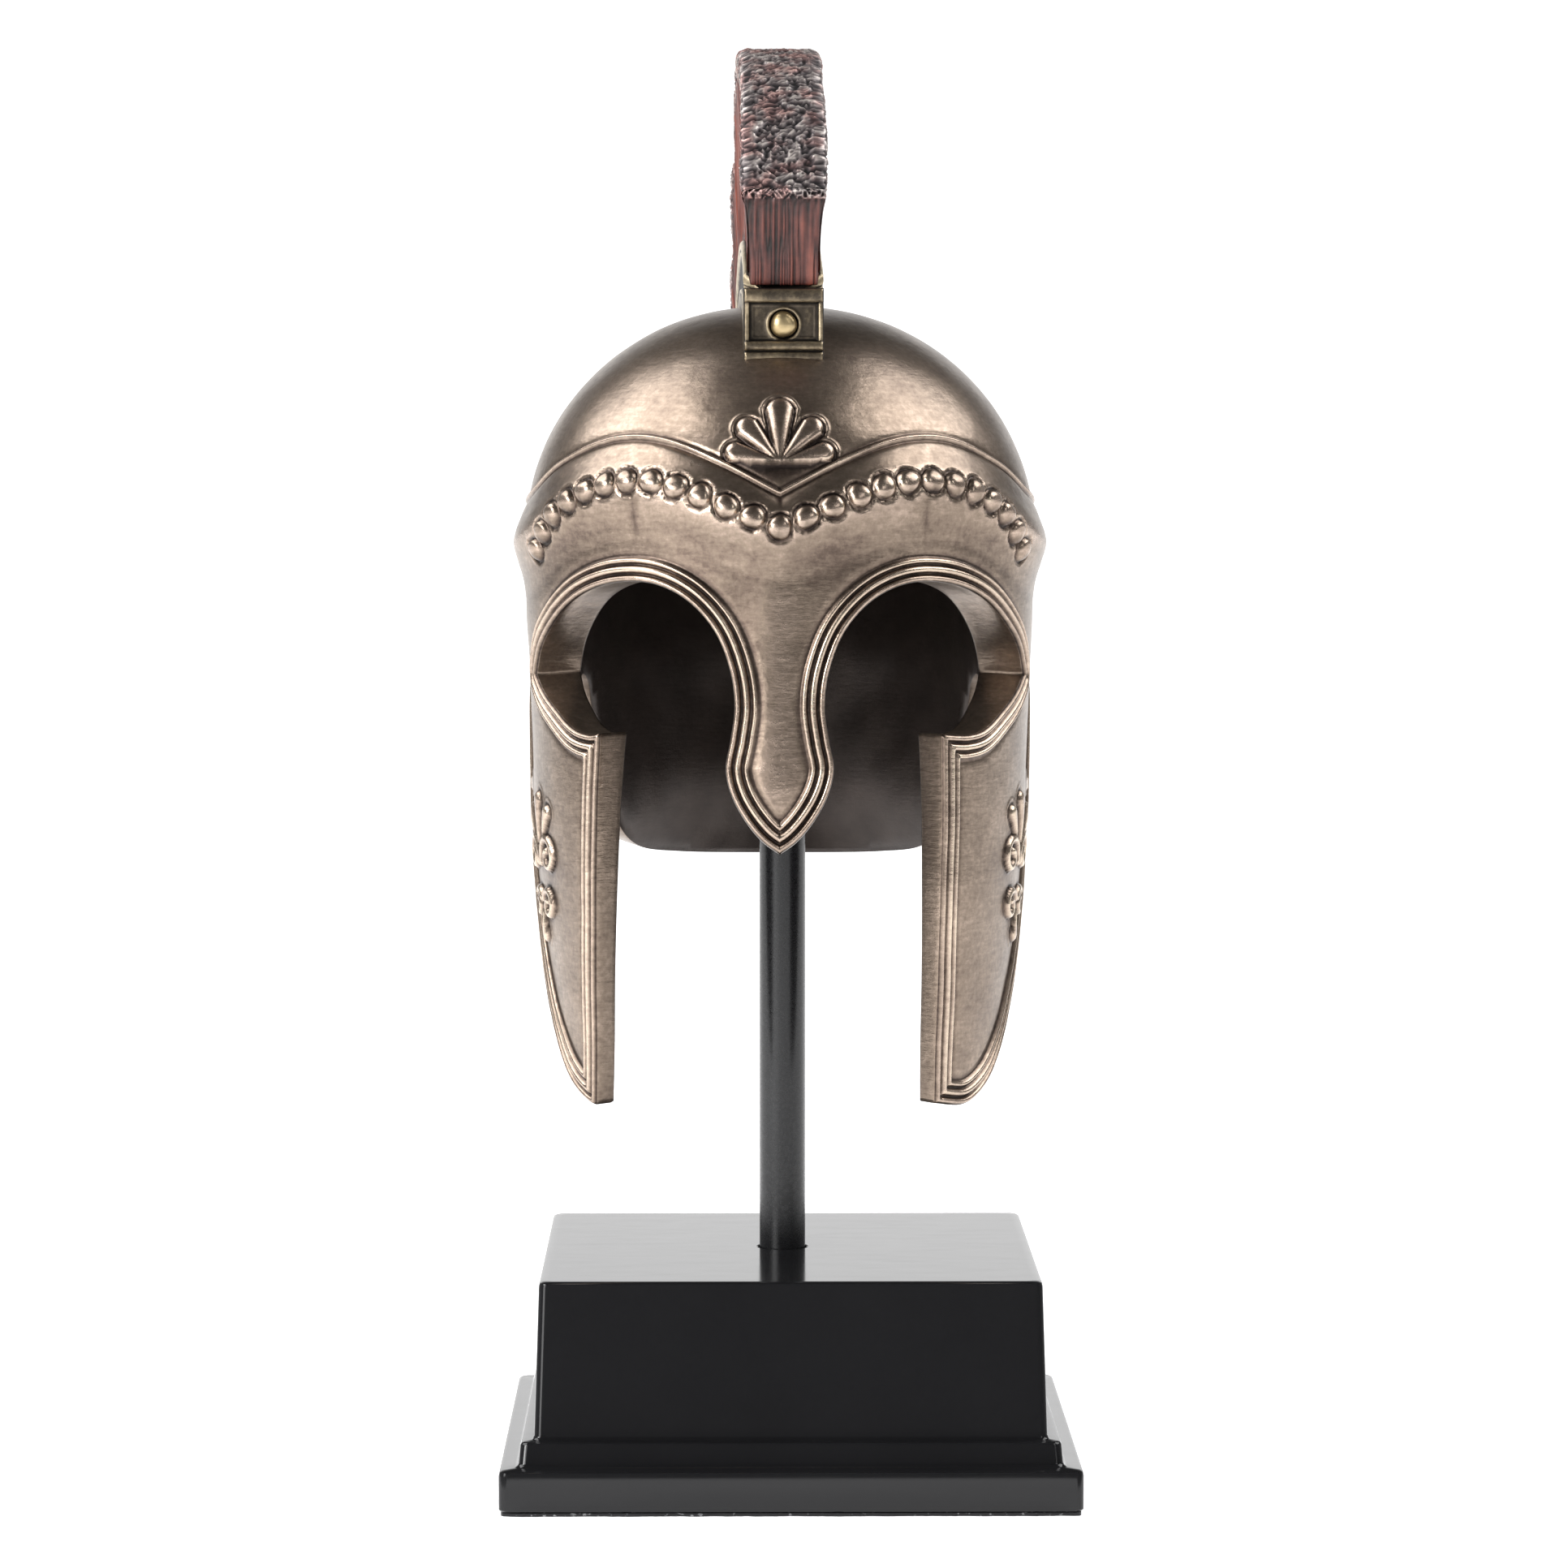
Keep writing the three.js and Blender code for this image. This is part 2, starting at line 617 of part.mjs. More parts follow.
function cheekOrnament(side) {
  const spot = { deg: side * CHEEK_ORNAMENT.deg, level: CHEEK_ORNAMENT.level };
  return [
    ...CHEEK_SCROLLS.flatMap((scroll) => [1, -1].map((hand) => scrollSolid(spot, scroll, hand))),
    ...CHEEK_PETALS.map((petal) => petalSolid(spot, petal, CHEEK_RISE)),
  ];
}

function helmetShell() {
  const outerLevels = [66, 82, 100, 114, 124, 133, 143, 156, 170, 183, 192, 201, 210, 219, 228, 236, 243,
    249];
  const innerLevels = [64, 95, 117, 130, 146, 157, 170, 184, 200, 216, 232, 245];
  const outer = skullSolid(42, outerLevels, () => 0);
  const inner = skullSolid(28, innerLevels, (level) => -tableValue(WALLS, 'wall', level));
  const cutters = [1, -1].flatMap(edgeCutters);
  const wall = cutters.reduce((rest, cutter) => rest.subtract(cutter), outer.subtract(inner));
  const relief = [
    mouldingSolid(),
    bandSolid(),
    ...beadSolids(),
    ...PETALS.map((petal) => petalSolid(PALMETTE_ROOT, petal, PETAL_RISE)),
    ...cheekOrnament(1),
    ...cheekOrnament(-1),
  ];
  const boss = rod(BOSS.radius, BOSS.bottom, BOSS.top, 16);
  const bore = rod(ROD.radius + GAP, BOSS.bottom - 1, BOSS.boreTop, 16);
  return joined([wall, ...relief]).translate([HELMET_SHIFT, 0, 0]).add(boss).subtract(bore);
}

// ---------------------------------------------------------------- the crest
// Points along the middle of the skull, over the top from front to back, at a height above the skin.
function crownLine(frontLevel, rearLevel, height, step) {
  const nearTop = DOME_TOP - 1.5;
  const rise = evenly(frontLevel, nearTop, Math.round((nearTop - frontLevel) / step));
  const fall = evenly(nearTop, rearLevel, Math.round((nearTop - rearLevel) / step));
  return [
    ...rise.map((level) => skin(0, level, height)),
    ...fall.map((level) => skin(Math.PI, level, height)),
  ];
}

// A plate of even thickness whose outline is drawn in the crest's own plane.
function crestPlate(outline, fromX, toX) {
  const shape = new THREE.Shape(outline.map((p) => new THREE.Vector2(p.y, p.z)));
  const plate = new THREE.ExtrudeGeometry(shape, { depth: toX - fromX, bevelEnabled: false });
  const axes = new THREE.Matrix4().makeBasis(
    new THREE.Vector3(0, 1, 0), new THREE.Vector3(0, 0, 1), new THREE.Vector3(1, 0, 0));
  return solidOf(plate.applyMatrix4(axes).translate(fromX, 0, 0));
}

function crestStrip(frontLevel, rearLevel, low, high, fromX, toX) {
  const top = crownLine(frontLevel, rearLevel, high, 7);
  const bottom = crownLine(frontLevel, rearLevel, low, 7).reverse();
  return crestPlate([...top, ...bottom], fromX, toX);
}

function setOnHelmet(solid) {
  return solid.rotate([0, 0, CREST_TURN]).translate([HELMET_SHIFT, 0, 0]);
}

// The skull with the clear space that the crest's pieces keep to it.
function skullClearance() {
  const levels = [120, 130, 140, 150, 160, 170, 180, 188, 196, 204, 212, 220, 228, 236, 243, 249];
  return skullSolid(42, levels, () => GAP).translate([HELMET_SHIFT, 0, 0]);
}

function crestHolder() {
  const { halfWidth, height, frontY, frontLevel, rearLevel } = HOLDER;
  const far = 60;
  const panel = HOLDER_PANEL;
  const channel = crestStrip(frontLevel, rearLevel, -2, height, -halfWidth, halfWidth);
  const inFront = boxBetween([-far, frontY - far, 100], [far, frontY, 300]);
  const frontPanel = boxBetween(
    [-panel.halfWidth, frontY - 1, panel.bottom], [panel.halfWidth, frontY + panel.depth, panel.top]);
  const { frontLevel: start, rearLevel: end, low, high, depth } = HOLDER_SIDE;
  const sidePanels = [
    crestStrip(start, end, low, high, halfWidth - depth, halfWidth + 1),
    crestStrip(start, end, low, high, -halfWidth - 1, depth - halfWidth),
  ];
  const shankRadius = STUD.shankRadius + GAP;
  const shankHole = alongY(
    [shankRadius, shankRadius], [frontY - 1, frontY + panel.depth + STUD.shankLength + GAP]);
  const cuts = [inFront, frontPanel, ...sidePanels, shankHole];
  return setOnHelmet(cuts.reduce((rest, cut) => rest.subtract(cut), channel)).subtract(skullClearance());
}

// A body turned about a line through the stud, parallel to Y: a radius at each y.
function alongY(radii, places, tipY) {
  const rings = radii.map((radius, i) => circle(radius, 0, 12)
    .map((p) => new THREE.Vector3(p.x, places[i], STUD.z + p.y)));
  const endTip = tipY === undefined ? undefined : new THREE.Vector3(0, tipY, STUD.z);
  return loft(rings, { endTip });
}

function crestHolderStud() {
  const seat = HOLDER.frontY + HOLDER_PANEL.depth - GAP;
  const { radius, rise, shankRadius, shankLength } = STUD;
  const radii = [shankRadius, shankRadius, radius, radius, radius * 0.7];
  const places = [seat + shankLength, seat, seat, seat - rise * 0.3, seat - rise * 0.8];
  return setOnHelmet(alongY(radii, places, seat - rise));
}

function crestPlume() {
  const roots = new THREE.CatmullRomCurve3(
    HAIR_ROOTS.map(({ behind, level, height }) => skin(behind ? Math.PI : 0, level, height)),
    false, 'centripetal');
  const rim = new THREE.CatmullRomCurve3(
    HAIR_RIM.map(({ y, z }) => new THREE.Vector3(0, y, z)), false, 'centripetal');
  const stations = 2 * HAIR_LOCKS;
  const rings = evenly(0, stations, stations).map((i) => {
    const root = roots.getPointAt(i / stations);
    const tip = rim.getPointAt(i / stations);
    const bulge = i % 2 === 1 ? 1 : -0.4;
    const half = HAIR_PROFILE.map(({ share, half: width, lock }) => {
      const place = new THREE.Vector3().lerpVectors(root, tip, share + 0.012 * bulge * (share > 0.9));
      return { place, width: width + lock * bulge };
    });
    const right = half.map(({ place, width }) => new THREE.Vector3(width, place.y, place.z));
    const left = half.map(({ place, width }) => new THREE.Vector3(-width, place.y, place.z)).reverse();
    return [...right, ...left];
  });
  const { halfWidth, height, frontLevel, rearLevel } = HOLDER;
  const holderRoom = crestStrip(
    frontLevel, rearLevel - 1, -2, height + GAP, -halfWidth - 1, halfWidth + 1);
  return setOnHelmet(loft(rings).subtract(holderRoom)).subtract(skullClearance());
}

// ---------------------------------------------------------------- rod and plinth
// A square with rounded corners, as a ring of points.
function roundedSquare(half, corner, z) {
  const turns = evenly(0, Math.PI / 2, 3);
  return [0, 1, 2, 3].flatMap((quarter) => turns.map((turn) => {
    const direction = turn + (quarter * Math.PI) / 2;
    const middle = (quarter * Math.PI) / 2 + Math.PI / 4;
    const inset = (half - corner) * Math.SQRT2;
    return new THREE.Vector3(
      inset * Math.cos(middle) + corner * Math.cos(direction),
      inset * Math.sin(middle) + corner * Math.sin(direction),
      z,
    );
  }));
}

function onPlinthPlace(solid) {
  return solid.rotate([0, 0, PLINTH_PLACE.turn]).translate([PLINTH_PLACE.x, 0, 0]);
}

function plinthSolid() {
  const block = loft(PLINTH_STEPS.map(({ z, half }) => roundedSquare(half, PLINTH_CORNER, z)));
  const hole = rod(PLINTH_HOLE.radius, PLINTH_HOLE.bottom, PLINTH_STEPS.at(-1).z + 1, 24);
  return onPlinthPlace(block).subtract(hole);
}

function padSolid() {
  return loft([0, PAD.thickness].map((z) => roundedSquare(PAD.half, PLINTH_CORNER, z)));
}

// ---------------------------------------------------------------- the scene graph
function part(name, solid, finish) {
  const { vertProperties, triVerts } = solid.getMesh();
  const geometry = new THREE.BufferGeometry();
  geometry.setAttribute('position', new THREE.BufferAttribute(new Float32Array(vertProperties), 3));
  geometry.setIndex(new THREE.BufferAttribute(new Uint32Array(triVerts), 1));
  const mesh = new THREE.Mesh(geometry, new THREE.MeshStandardMaterial(FINISHES[finish]));
  mesh.name = name;
  return mesh;
}

const object = new THREE.Group();
object.add(
  part('plinth_felt_pad', onPlinthPlace(padSolid()), 'felt'),
  part('plinth', plinthSolid(), 'blackPlinth'),
  part('stand_rod', rod(ROD.radius, ROD.bottom, ROD.top, 24), 'blackRod'),
  part('helmet_shell', helmetShell(), 'bronze'),
  part('crest_holder', crestHolder(), 'agedBrass'),
  part('crest_holder_stud', crestHolderStud(), 'gold'),
  part('crest_plume', crestPlume(), 'horsehair'),
);

export default object;
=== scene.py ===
"""A desk-size Greek bronze helmet with a horsehair crest, on a rod and a black stepped plinth.

Shapes are worked out in millimetres and put into the meshes in metres. The face looks along -Y.
"""
import math

import bpy
import numpy as np
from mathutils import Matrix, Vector
from mathutils.geometry import delaunay_2d_cdt


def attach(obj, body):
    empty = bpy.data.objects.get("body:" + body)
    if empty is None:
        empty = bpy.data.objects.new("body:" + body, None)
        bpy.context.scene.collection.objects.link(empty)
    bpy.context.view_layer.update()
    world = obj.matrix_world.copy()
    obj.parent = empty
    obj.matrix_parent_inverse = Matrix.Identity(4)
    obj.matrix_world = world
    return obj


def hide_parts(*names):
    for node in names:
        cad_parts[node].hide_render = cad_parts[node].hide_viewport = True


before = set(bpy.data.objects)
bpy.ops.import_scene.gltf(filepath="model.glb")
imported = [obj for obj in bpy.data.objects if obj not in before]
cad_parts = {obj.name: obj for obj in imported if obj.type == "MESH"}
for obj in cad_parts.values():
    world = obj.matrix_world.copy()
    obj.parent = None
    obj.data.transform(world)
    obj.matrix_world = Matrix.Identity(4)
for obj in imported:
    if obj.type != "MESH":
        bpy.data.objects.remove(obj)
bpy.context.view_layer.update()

# ------------------------------------------------------------------ driving dimensions
HELMET_SHIFT = -0.5  # the helmet sits a little left of the rod's axis
BROW_LEVEL = 183.5  # where the skull's dome begins
DOME_RISE = 44.2
DOME_SETBACK = 8.0
DOME_FULLNESS = 0.95
DOME_TOP = BROW_LEVEL + DOME_RISE * math.pi / 2
NOMINAL_RADIUS = 50.0

# The helmet's skin: level, half width, half depth in front, half depth behind.
SECTIONS = np.array([
    (66, 44.0, 49.0, 69.0),
    (85, 44.8, 49.6, 69.0),
    (100, 45.9, 50.6, 69.0),
    (116, 47.0, 52.0, 67.0),
    (124, 47.5, 51.6, 63.4),
    (132, 47.9, 51.2, 62.2),
    (142, 48.2, 50.6, 64.2),
    (155, 48.7, 49.9, 67.8),
    (168, 49.3, 49.2, 70.2),
    (183.5, 49.4, 49.0, 71.0),
])
# Level and wall thickness of the casting.
WALLS = np.array([
    (66, 3.6), (100, 4.4), (130, 5.7), (146, 6.8), (157, 8.7), (170, 8.4), (184, 7.0), (200, 6.5),
])

# The cut edge in degrees from the nose and level, with the metal on the left of each run.
EYE_EDGE = [
    (0, 124.5), (3.7, 126.7), (7.5, 130.4), (10.8, 135.4), (12.1, 140.3), (10.9, 146.0), (10.0, 152.0),
    (10.9, 158.6), (14.3, 166.0), (20.5, 171.7), (28.4, 174.7), (38.2, 174.9), (50.2, 172.1),
    (62.2, 166.0), (70.2, 160.6), (73.8, 156.4),
]
CHEEK_TOP = [(73.8, 156.4), (69.5, 153.7), (61.5, 150.0), (53.5, 146.6), (47.5, 145.8), (42.0, 146.2)]
CHEEK_FRONT = [(42.0, 146.2), (46.6, 76.0)]
REAR_EDGE = [
    (46.6, 76.0), (52.0, 75.0), (58.0, 76.3), (65.0, 79.7), (72.0, 85.8), (78.0, 93.5), (84.0, 104.0),
    (89.5, 117.0), (93.0, 130.0), (95.5, 143.0), (98.5, 150.5), (103.5, 154.6), (109.0, 153.2),
    (114.5, 147.5), (120.0, 139.0), (125.0, 129.5), (130.0, 123.0), (137.0, 119.6), (150.0, 118.4),
    (180.0, 118.2),
]
CHEEK_SKEW_TOP = 2.6  # degrees that the left cheek guard stands back and the right one forward
CHEEK_SKEW_BOTTOM = 5.2
EDGE_STEP = 0.8

# Across the edge moulding: distance in from the edge, height above the skin.
MOULDING = np.array([
    (0.0, 0.15), (0.18, 0.50), (0.4, 0.72), (0.65, 0.78), (0.9, 0.70), (1.1, 0.40), (1.28, 0.02),
    (1.5, -0.02), (1.72, 0.38), (1.95, 0.78), (2.3, 0.92), (2.65, 0.80), (2.9, 0.42), (3.1, 0.02),
    (3.35, 0.0), (3.55, 0.36), (3.8, 0.66), (4.1, 0.66), (4.35, 0.34), (4.55, -0.02), (4.85, -0.16),
    (5.3, -0.10), (5.9, 0.0),
])
MOULDING_REACH = MOULDING[-1, 0]

# The brow band's upper border, and the ridge where it flares out furthest.
BAND_BORDER = [
    (0, 192.0), (12.8, 197.6), (25.9, 201.7), (37, 202.9), (47.2, 201.8), (63.2, 197.1), (75, 192.6),
    (90, 189.5), (115, 185.5), (140, 182.0),
]
BAND_RIDGE = [
    (0, 185.6), (12, 189.6), (24, 193.0), (34, 193.9), (45, 192.6), (56, 189.4), (67, 185.4),
    (80, 182.8), (100, 181.5), (140, 181.0),
]
BAND_FADE_FROM = math.radians(95)
BAND_END = math.radians(140)
# Share of the way from the border to the ridge, millimetres below that, height.
BAND_PROFILE = np.array([
    (0, -1.7, 0.0), (0, -1.15, -0.12), (0, -0.75, -0.16), (0, -0.4, 0.22), (0, 0.0, 0.62),
    (0, 0.35, 0.42), (0, 0.7, 0.02), (0, 1.1, 0.12), (0, 1.8, 0.55), (0.55, 0, 1.40),
    (0.85, 0, 2.20), (1, 1.0, 2.50), (1, 4.5, 1.55), (1, 8.0, 0.50), (1, 11.5, 0.0),
])
BAND_ROWS_ABOVE = np.array([-1.7, -1.4, -1.15, -0.95, -0.75, -0.55, -0.35, -0.17, 0, 0.17, 0.35, 0.55,
                            0.75, 0.92, 1.1, 1.4, 1.7, 2.1])

# The beads: one over the nose, twelve towards each temple.
BEAD_LINE = [(0, 185.4), (12, 189.4), (24, 192.9), (34, 193.7), (45, 192.1), (56, 188.2), (67.2, 180.5)]
BEADS_EACH_SIDE = 12
# Across one bead: distance from its middle, height above the band.
BEAD_PROFILE = np.array([
    (0, 0.95), (0.7, 0.92), (1.2, 0.83), (1.6, 0.66), (1.9, 0.40), (2.12, 0.02), (2.32, -0.34),
    (2.55, -0.38), (2.78, -0.06), (3.0, 0.10), (3.25, 0.03), (3.6, 0.0),
])

# The palmette: turn in degrees, length from the root, radius of the petal's head.
PALMETTE_LEVEL = 197.6
PETALS = [(0, 13.6, 2.55), (40, 11.6, 2.25), (-40, 11.6, 2.25), (76, 10.6, 2.1), (-76, 10.6, 2.1)]
PETAL_RISE = 1.15

# The ornament on each cheek guard, in millimetres from its middle.
CHEEK_SPOT = (math.radians(75), 119.0)
CHEEK_SCROLLS = [(4.9, 2.5, 4.1, 200), (3.7, -7.0, 3.1, 160)]
CHEEK_PETALS = [(0, 5.0, 15.0, 1.9), (28, 6.5, 14.0, 1.6), (-28, 6.5, 14.0, 1.6), (180, 8.0, 14.5, 1.6)]
CHEEK_RISE = 1.0

ROD_RADIUS = 4.48
ROD_BOTTOM = 38.0
ROD_TOP = 211.5

CREST_TURN = math.radians(1.5)
HOLDER_HALF = 7.6
HOLDER_FRONT_Y = -28.7
HOLDER_REAR_LEVEL = 166.0
HOLDER_HEIGHT = 12.6
STUD_Z = 223.5

PLINTH_SHIFT = 1.2
PLINTH_TURN = math.radians(0.5)
PLINTH_CORNER = 1.6
# Half side and level up the plinth, from under its foot to its top edge.
PLINTH_PROFILE = np.array([
    (54.0, 0.9), (54.75, 0.9), (55.0, 1.2), (55.0, 7.6), (54.85, 8.25), (54.3, 8.6), (52.1, 8.6),
    (51.9, 8.75), (51.5, 9.0), (51.3, 9.4), (51.0, 12.8), (50.8, 13.2), (50.3, 13.4), (48.9, 13.4),
    (48.7, 13.6), (48.5, 14.2), (47.6, 42.3), (47.45, 42.9), (46.9, 43.2),
])
PLINTH_TOP = 43.2
HOLE_RADIUS = 4.9


# ------------------------------------------------------------------ curves and numbers
def smoothstep(low, high, value):
    """3t^2 - 2t^3 of the share t of the way from low to high."""
    t = np.clip((value - low) / (high - low), 0, 1)
    return t * t * (3 - 2 * t)


def through_rows(knots, values, at):
    """Cubics through rows of values whose end slopes are the chords between the neighbours.

    knots is one row of places for all, or a row of places for each entry of at.
    """
    at = np.asarray(at, float)
    knots = np.broadcast_to(knots, at.shape + (len(values),))
    values = np.broadcast_to(values, knots.shape)
    last = len(values[0]) - 1 if at.ndim else len(values) - 1
    inside = np.clip(at, knots[..., 0], knots[..., -1])
    i = np.clip((inside[..., None] >= knots).sum(-1) - 1, 0, last - 1)

    def pick(table, k):
        return np.take_along_axis(table, np.clip(k, 0, last)[..., None], -1)[..., 0]

    def slope(k):
        rise = pick(values, k + 1) - pick(values, k - 1)
        return rise / (pick(knots, k + 1) - pick(knots, k - 1))

    span = pick(knots, i + 1) - pick(knots, i)
    t = (inside - pick(knots, i)) / span
    ends = pick(values, i) * (1 + 2 * t) * (1 - t) ** 2 + pick(values, i + 1) * t * t * (3 - 2 * t)
    return ends + span * (slope(i) * t * (1 - t) ** 2 - slope(i + 1) * t * t * (1 - t))


def smooth_run(rows, step):
    """A curve through rows of points, resampled evenly at about the step.

    Each span is the cubic whose end slopes weigh the neighbouring chords by the roots of their lengths.
    """
    p = np.asarray(rows, float)
    p = np.vstack([2 * p[0] - p[1], p, 2 * p[-1] - p[-2]])
    root = np.sqrt(np.linalg.norm(np.diff(p, axis=0), axis=1))[:, None]
    a, b, c = root[:-2], root[1:-1], root[2:]
    p0, p1, p2, p3 = p[:-3], p[1:-2], p[2:-1], p[3:]
    start = b * ((p1 - p0) / a - (p2 - p0) / (a + b) + (p2 - p1) / b)
    end = b * ((p2 - p1) / b - (p3 - p1) / (b + c) + (p3 - p2) / c)
    t = np.linspace(0, 1, 40, endpoint=False)[None, :, None]
    near, far = (1 + 2 * t) * (1 - t) ** 2, t * t * (3 - 2 * t)
    curve = near * p1[:, None] + far * p2[:, None]
    curve += t * (1 - t) ** 2 * start[:, None] - t * t * (1 - t) * end[:, None]
    curve = np.vstack([curve.reshape(-1, p.shape[1]), p[-2]])
    along = np.concatenate([[0], np.cumsum(np.linalg.norm(np.diff(curve, axis=0), axis=1))])
    count = max(1, round(along[-1] / step))
    places = np.linspace(0, along[-1], count + 1)
    return np.stack([np.interp(places, along, column) for column in curve.T], axis=1)


def skin_run(rows, step):
    """A smooth run through rows of degrees and level, as angles and levels."""
    run = smooth_run([(math.radians(deg) * NOMINAL_RADIUS, level) for deg, level in rows], step)
    return run / (NOMINAL_RADIUS, 1)


def lattice_noise(points, seed):
    """Random numbers at the corners of unit cells, blended by 3t^2 - 2t^3 inside each: 0 to 1."""
    cell = np.floor(points).astype(np.int64)
    t = points - cell
    t = t * t * (3 - 2 * t)
    total = np.zeros(len(points))
    for corner in np.ndindex(2, 2, 2):
        at = cell + corner
        mixed = (at[:, 0] * 73856093) ^ (at[:, 1] * 19349663) ^ (at[:, 2] * 83492791) ^ (seed * 2654435761)
        mixed = (mixed ^ (mixed >> 13)) * 1274126177
        value = ((mixed ^ (mixed >> 16)) & 0xFFFF) / 0xFFFF
        share = np.prod(np.where(corner, t, 1 - t), axis=1)
        total += value * share
    return total


# ------------------------------------------------------------------ the helmet's skin
def skin_base(angle, level):
    """An ellipse at each level, side*sin and -depth*cos of the angle; an elliptical dome over the brow."""
    lift = np.clip(level - BROW_LEVEL, 0, None) / DOME_RISE
    reach = np.clip(np.cos(lift), 0, None) ** DOME_FULLNESS
    side = through_rows(SECTIONS[:, 0], SECTIONS[:, 1], level) * reach
    front = through_rows(SECTIONS[:, 0], SECTIONS[:, 2], level) * reach
    back = through_rows(SECTIONS[:, 0], SECTIONS[:, 3], level) * reach
    depth = np.where(np.cos(angle) < 0, back, front)
    return np.stack([
        side * np.sin(angle),
        DOME_SETBACK * (1 - reach) - depth * np.cos(angle),
        np.minimum(level, BROW_LEVEL) + DOME_RISE * np.sin(lift),
    ], axis=-1)


def skin(angle, level, height):
    """A point of the skin moved by the height along the cross product of its two tangents."""
    angle, level, height = np.broadcast_arrays(*(np.asarray(v, float) for v in (angle, level, height)))
    turn, rise = 1e-3, 0.05
    high = np.minimum(level + rise, DOME_TOP)
    along = skin_base(angle + turn, level) - skin_base(angle - turn, level)
    up = skin_base(angle, high) - skin_base(angle, level - rise)
    normal = np.cross(along, up)
    length = np.linalg.norm(normal, axis=-1, keepdims=True)
    normal = np.where(length > 1e-9, normal / np.maximum(length, 1e-9), (0, 0, 1))
    return skin_base(angle, level) + normal * height[..., None]


def arc_radius(angle, level):
    """Millimetres along the skin for one radian round the rod."""
    turn = 1e-3
    gap = skin_base(angle + turn, level) - skin_base(angle - turn, level)
    return np.linalg.norm(gap, axis=-1) / (2 * turn)


def wrap(angle):
    """An angle brought to between -pi and pi."""
    return (angle + math.pi) % (2 * math.pi) - math.pi


def edge_runs(side):
    """The four runs of one side's cut edge; side is 1 on the right and -1 on the left."""
    def moved(deg, level):
        share = (CHEEK_FRONT[0][1] - level) / (CHEEK_FRONT[0][1] - CHEEK_FRONT[1][1])
        return deg - side * (CHEEK_SKEW_TOP + share * (CHEEK_SKEW_BOTTOM - CHEEK_SKEW_TOP)), level

    def skewed(rows):
        return [moved(*row) if row in CHEEK_FRONT else row for row in rows]

    return [skin_run(skewed(rows), EDGE_STEP) for rows in (EYE_EDGE, CHEEK_TOP, CHEEK_FRONT, REAR_EDGE)]


def edge_loop():
    """The whole cut edge as one closed loop of angles and levels, running once round the skull."""
    def side_run(side):
        runs = edge_runs(side)
        return np.vstack([runs[0]] + [run[1:] for run in runs[1:]])

    left = side_run(-1)[1:-1][::-1] * (-1, 1)
    return np.vstack([side_run(1), left])


def edge_distance(angle, level, loop):
    """Distance along the skin to the edge: the nearest station, then the two chords beside it."""
    radius = arc_radius(angle, level)
    result = np.empty(len(angle))
    after = np.roll(loop, -1, axis=0)
    for first in range(0, len(angle), 4000):
        part = slice(first, first + 4000)
        dx = wrap(loop[None, :, 0] - angle[part, None]) * radius[part, None]
        dz = loop[None, :, 1] - level[part, None]
        ex = wrap(after[:, 0] - loop[:, 0])[None, :] * radius[part, None]
        ez = (after[:, 1] - loop[:, 1])[None, :]
        nearest = np.argmin(dx * dx + dz * dz, axis=1)
        rows = np.arange(len(nearest))
        best = np.full(len(nearest), np.inf)
        for k in (nearest, nearest - 1):
            px, pz = dx[rows, k], dz[rows, k]
            qx, qz = ex[rows, k], ez[0, k]
            t = np.clip(-(px * qx + pz * qz) / (qx * qx + qz * qz), 0, 1)
            best = np.minimum(best, np.hypot(px + t * qx, pz + t * qz))
        result[part] = best
    return result


def edge_stations(loop):
    """Where each inward line of the moulding starts and which way it runs, in millimetres.

    A line follows the mitre of its two neighbours; round a hollow corner the lines fan out.
    """
    radius = arc_radius(loop[:, 0], loop[:, 1])[:, None]
    after = np.roll(loop, -1, axis=0) - loop
    after[:, 0] = wrap(after[:, 0])
    after = after * np.hstack([radius, np.ones_like(radius)])
    after /= np.linalg.norm(after, axis=1, keepdims=True)
    before = np.roll(after, 1, axis=0)
    mitre = before + after
    mitre = np.stack([-mitre[:, 1], mitre[:, 0]], axis=1)
    mitre /= np.maximum(1 + (before * after).sum(1), 0.3)[:, None]
    bend = before[:, 0] * after[:, 1] - before[:, 1] * after[:, 0]
    smooth = bend > -0.25
    starts, ways = [loop[smooth]], [mitre[smooth]]
    for k in np.flatnonzero(~smooth):
        low = math.atan2(before[k, 0], -before[k, 1])
        sweep = wrap(math.atan2(after[k, 0], -after[k, 1]) - low)
        fan = low + np.linspace(0, 1, 11) * sweep
        starts.append(np.repeat(loop[k:k + 1], len(fan), axis=0))
        ways.append(np.stack([np.cos(fan), np.sin(fan)], axis=1))
    return np.vstack(starts), np.vstack(ways)


# ------------------------------------------------------------------ relief on the skin
def band_height(angle, level):
    """The brow band: a profile down from its border, its lower rows hung from the ridge."""
    side = np.abs(angle)
    top = np.interp(side, *BORDER_RUN.T)
    crest = np.interp(np.hypot(side, 0.07) - 0.02, *RIDGE_RUN.T)
    share, below, height = BAND_PROFILE.T
    knots = (top - crest)[:, None] * share + below
    least = 0.25 * np.arange(len(share))
    knots = np.maximum.accumulate(knots - least, axis=1) + least
    fade = 1 - smoothstep(BAND_FADE_FROM, BAND_END, side)
    return through_rows(knots, height, top - level) * fade


def bead_spots():
    """The beads' middles: even steps along the bead line, mirrored to the left."""
    line = skin_run(BEAD_LINE, 0.25)
    picks = np.round(np.linspace(0, len(line) - 1, BEADS_EACH_SIDE + 1)).astype(int)
    right = line[picks]
    return np.vstack([right, right[1:] * (-1, 1)])


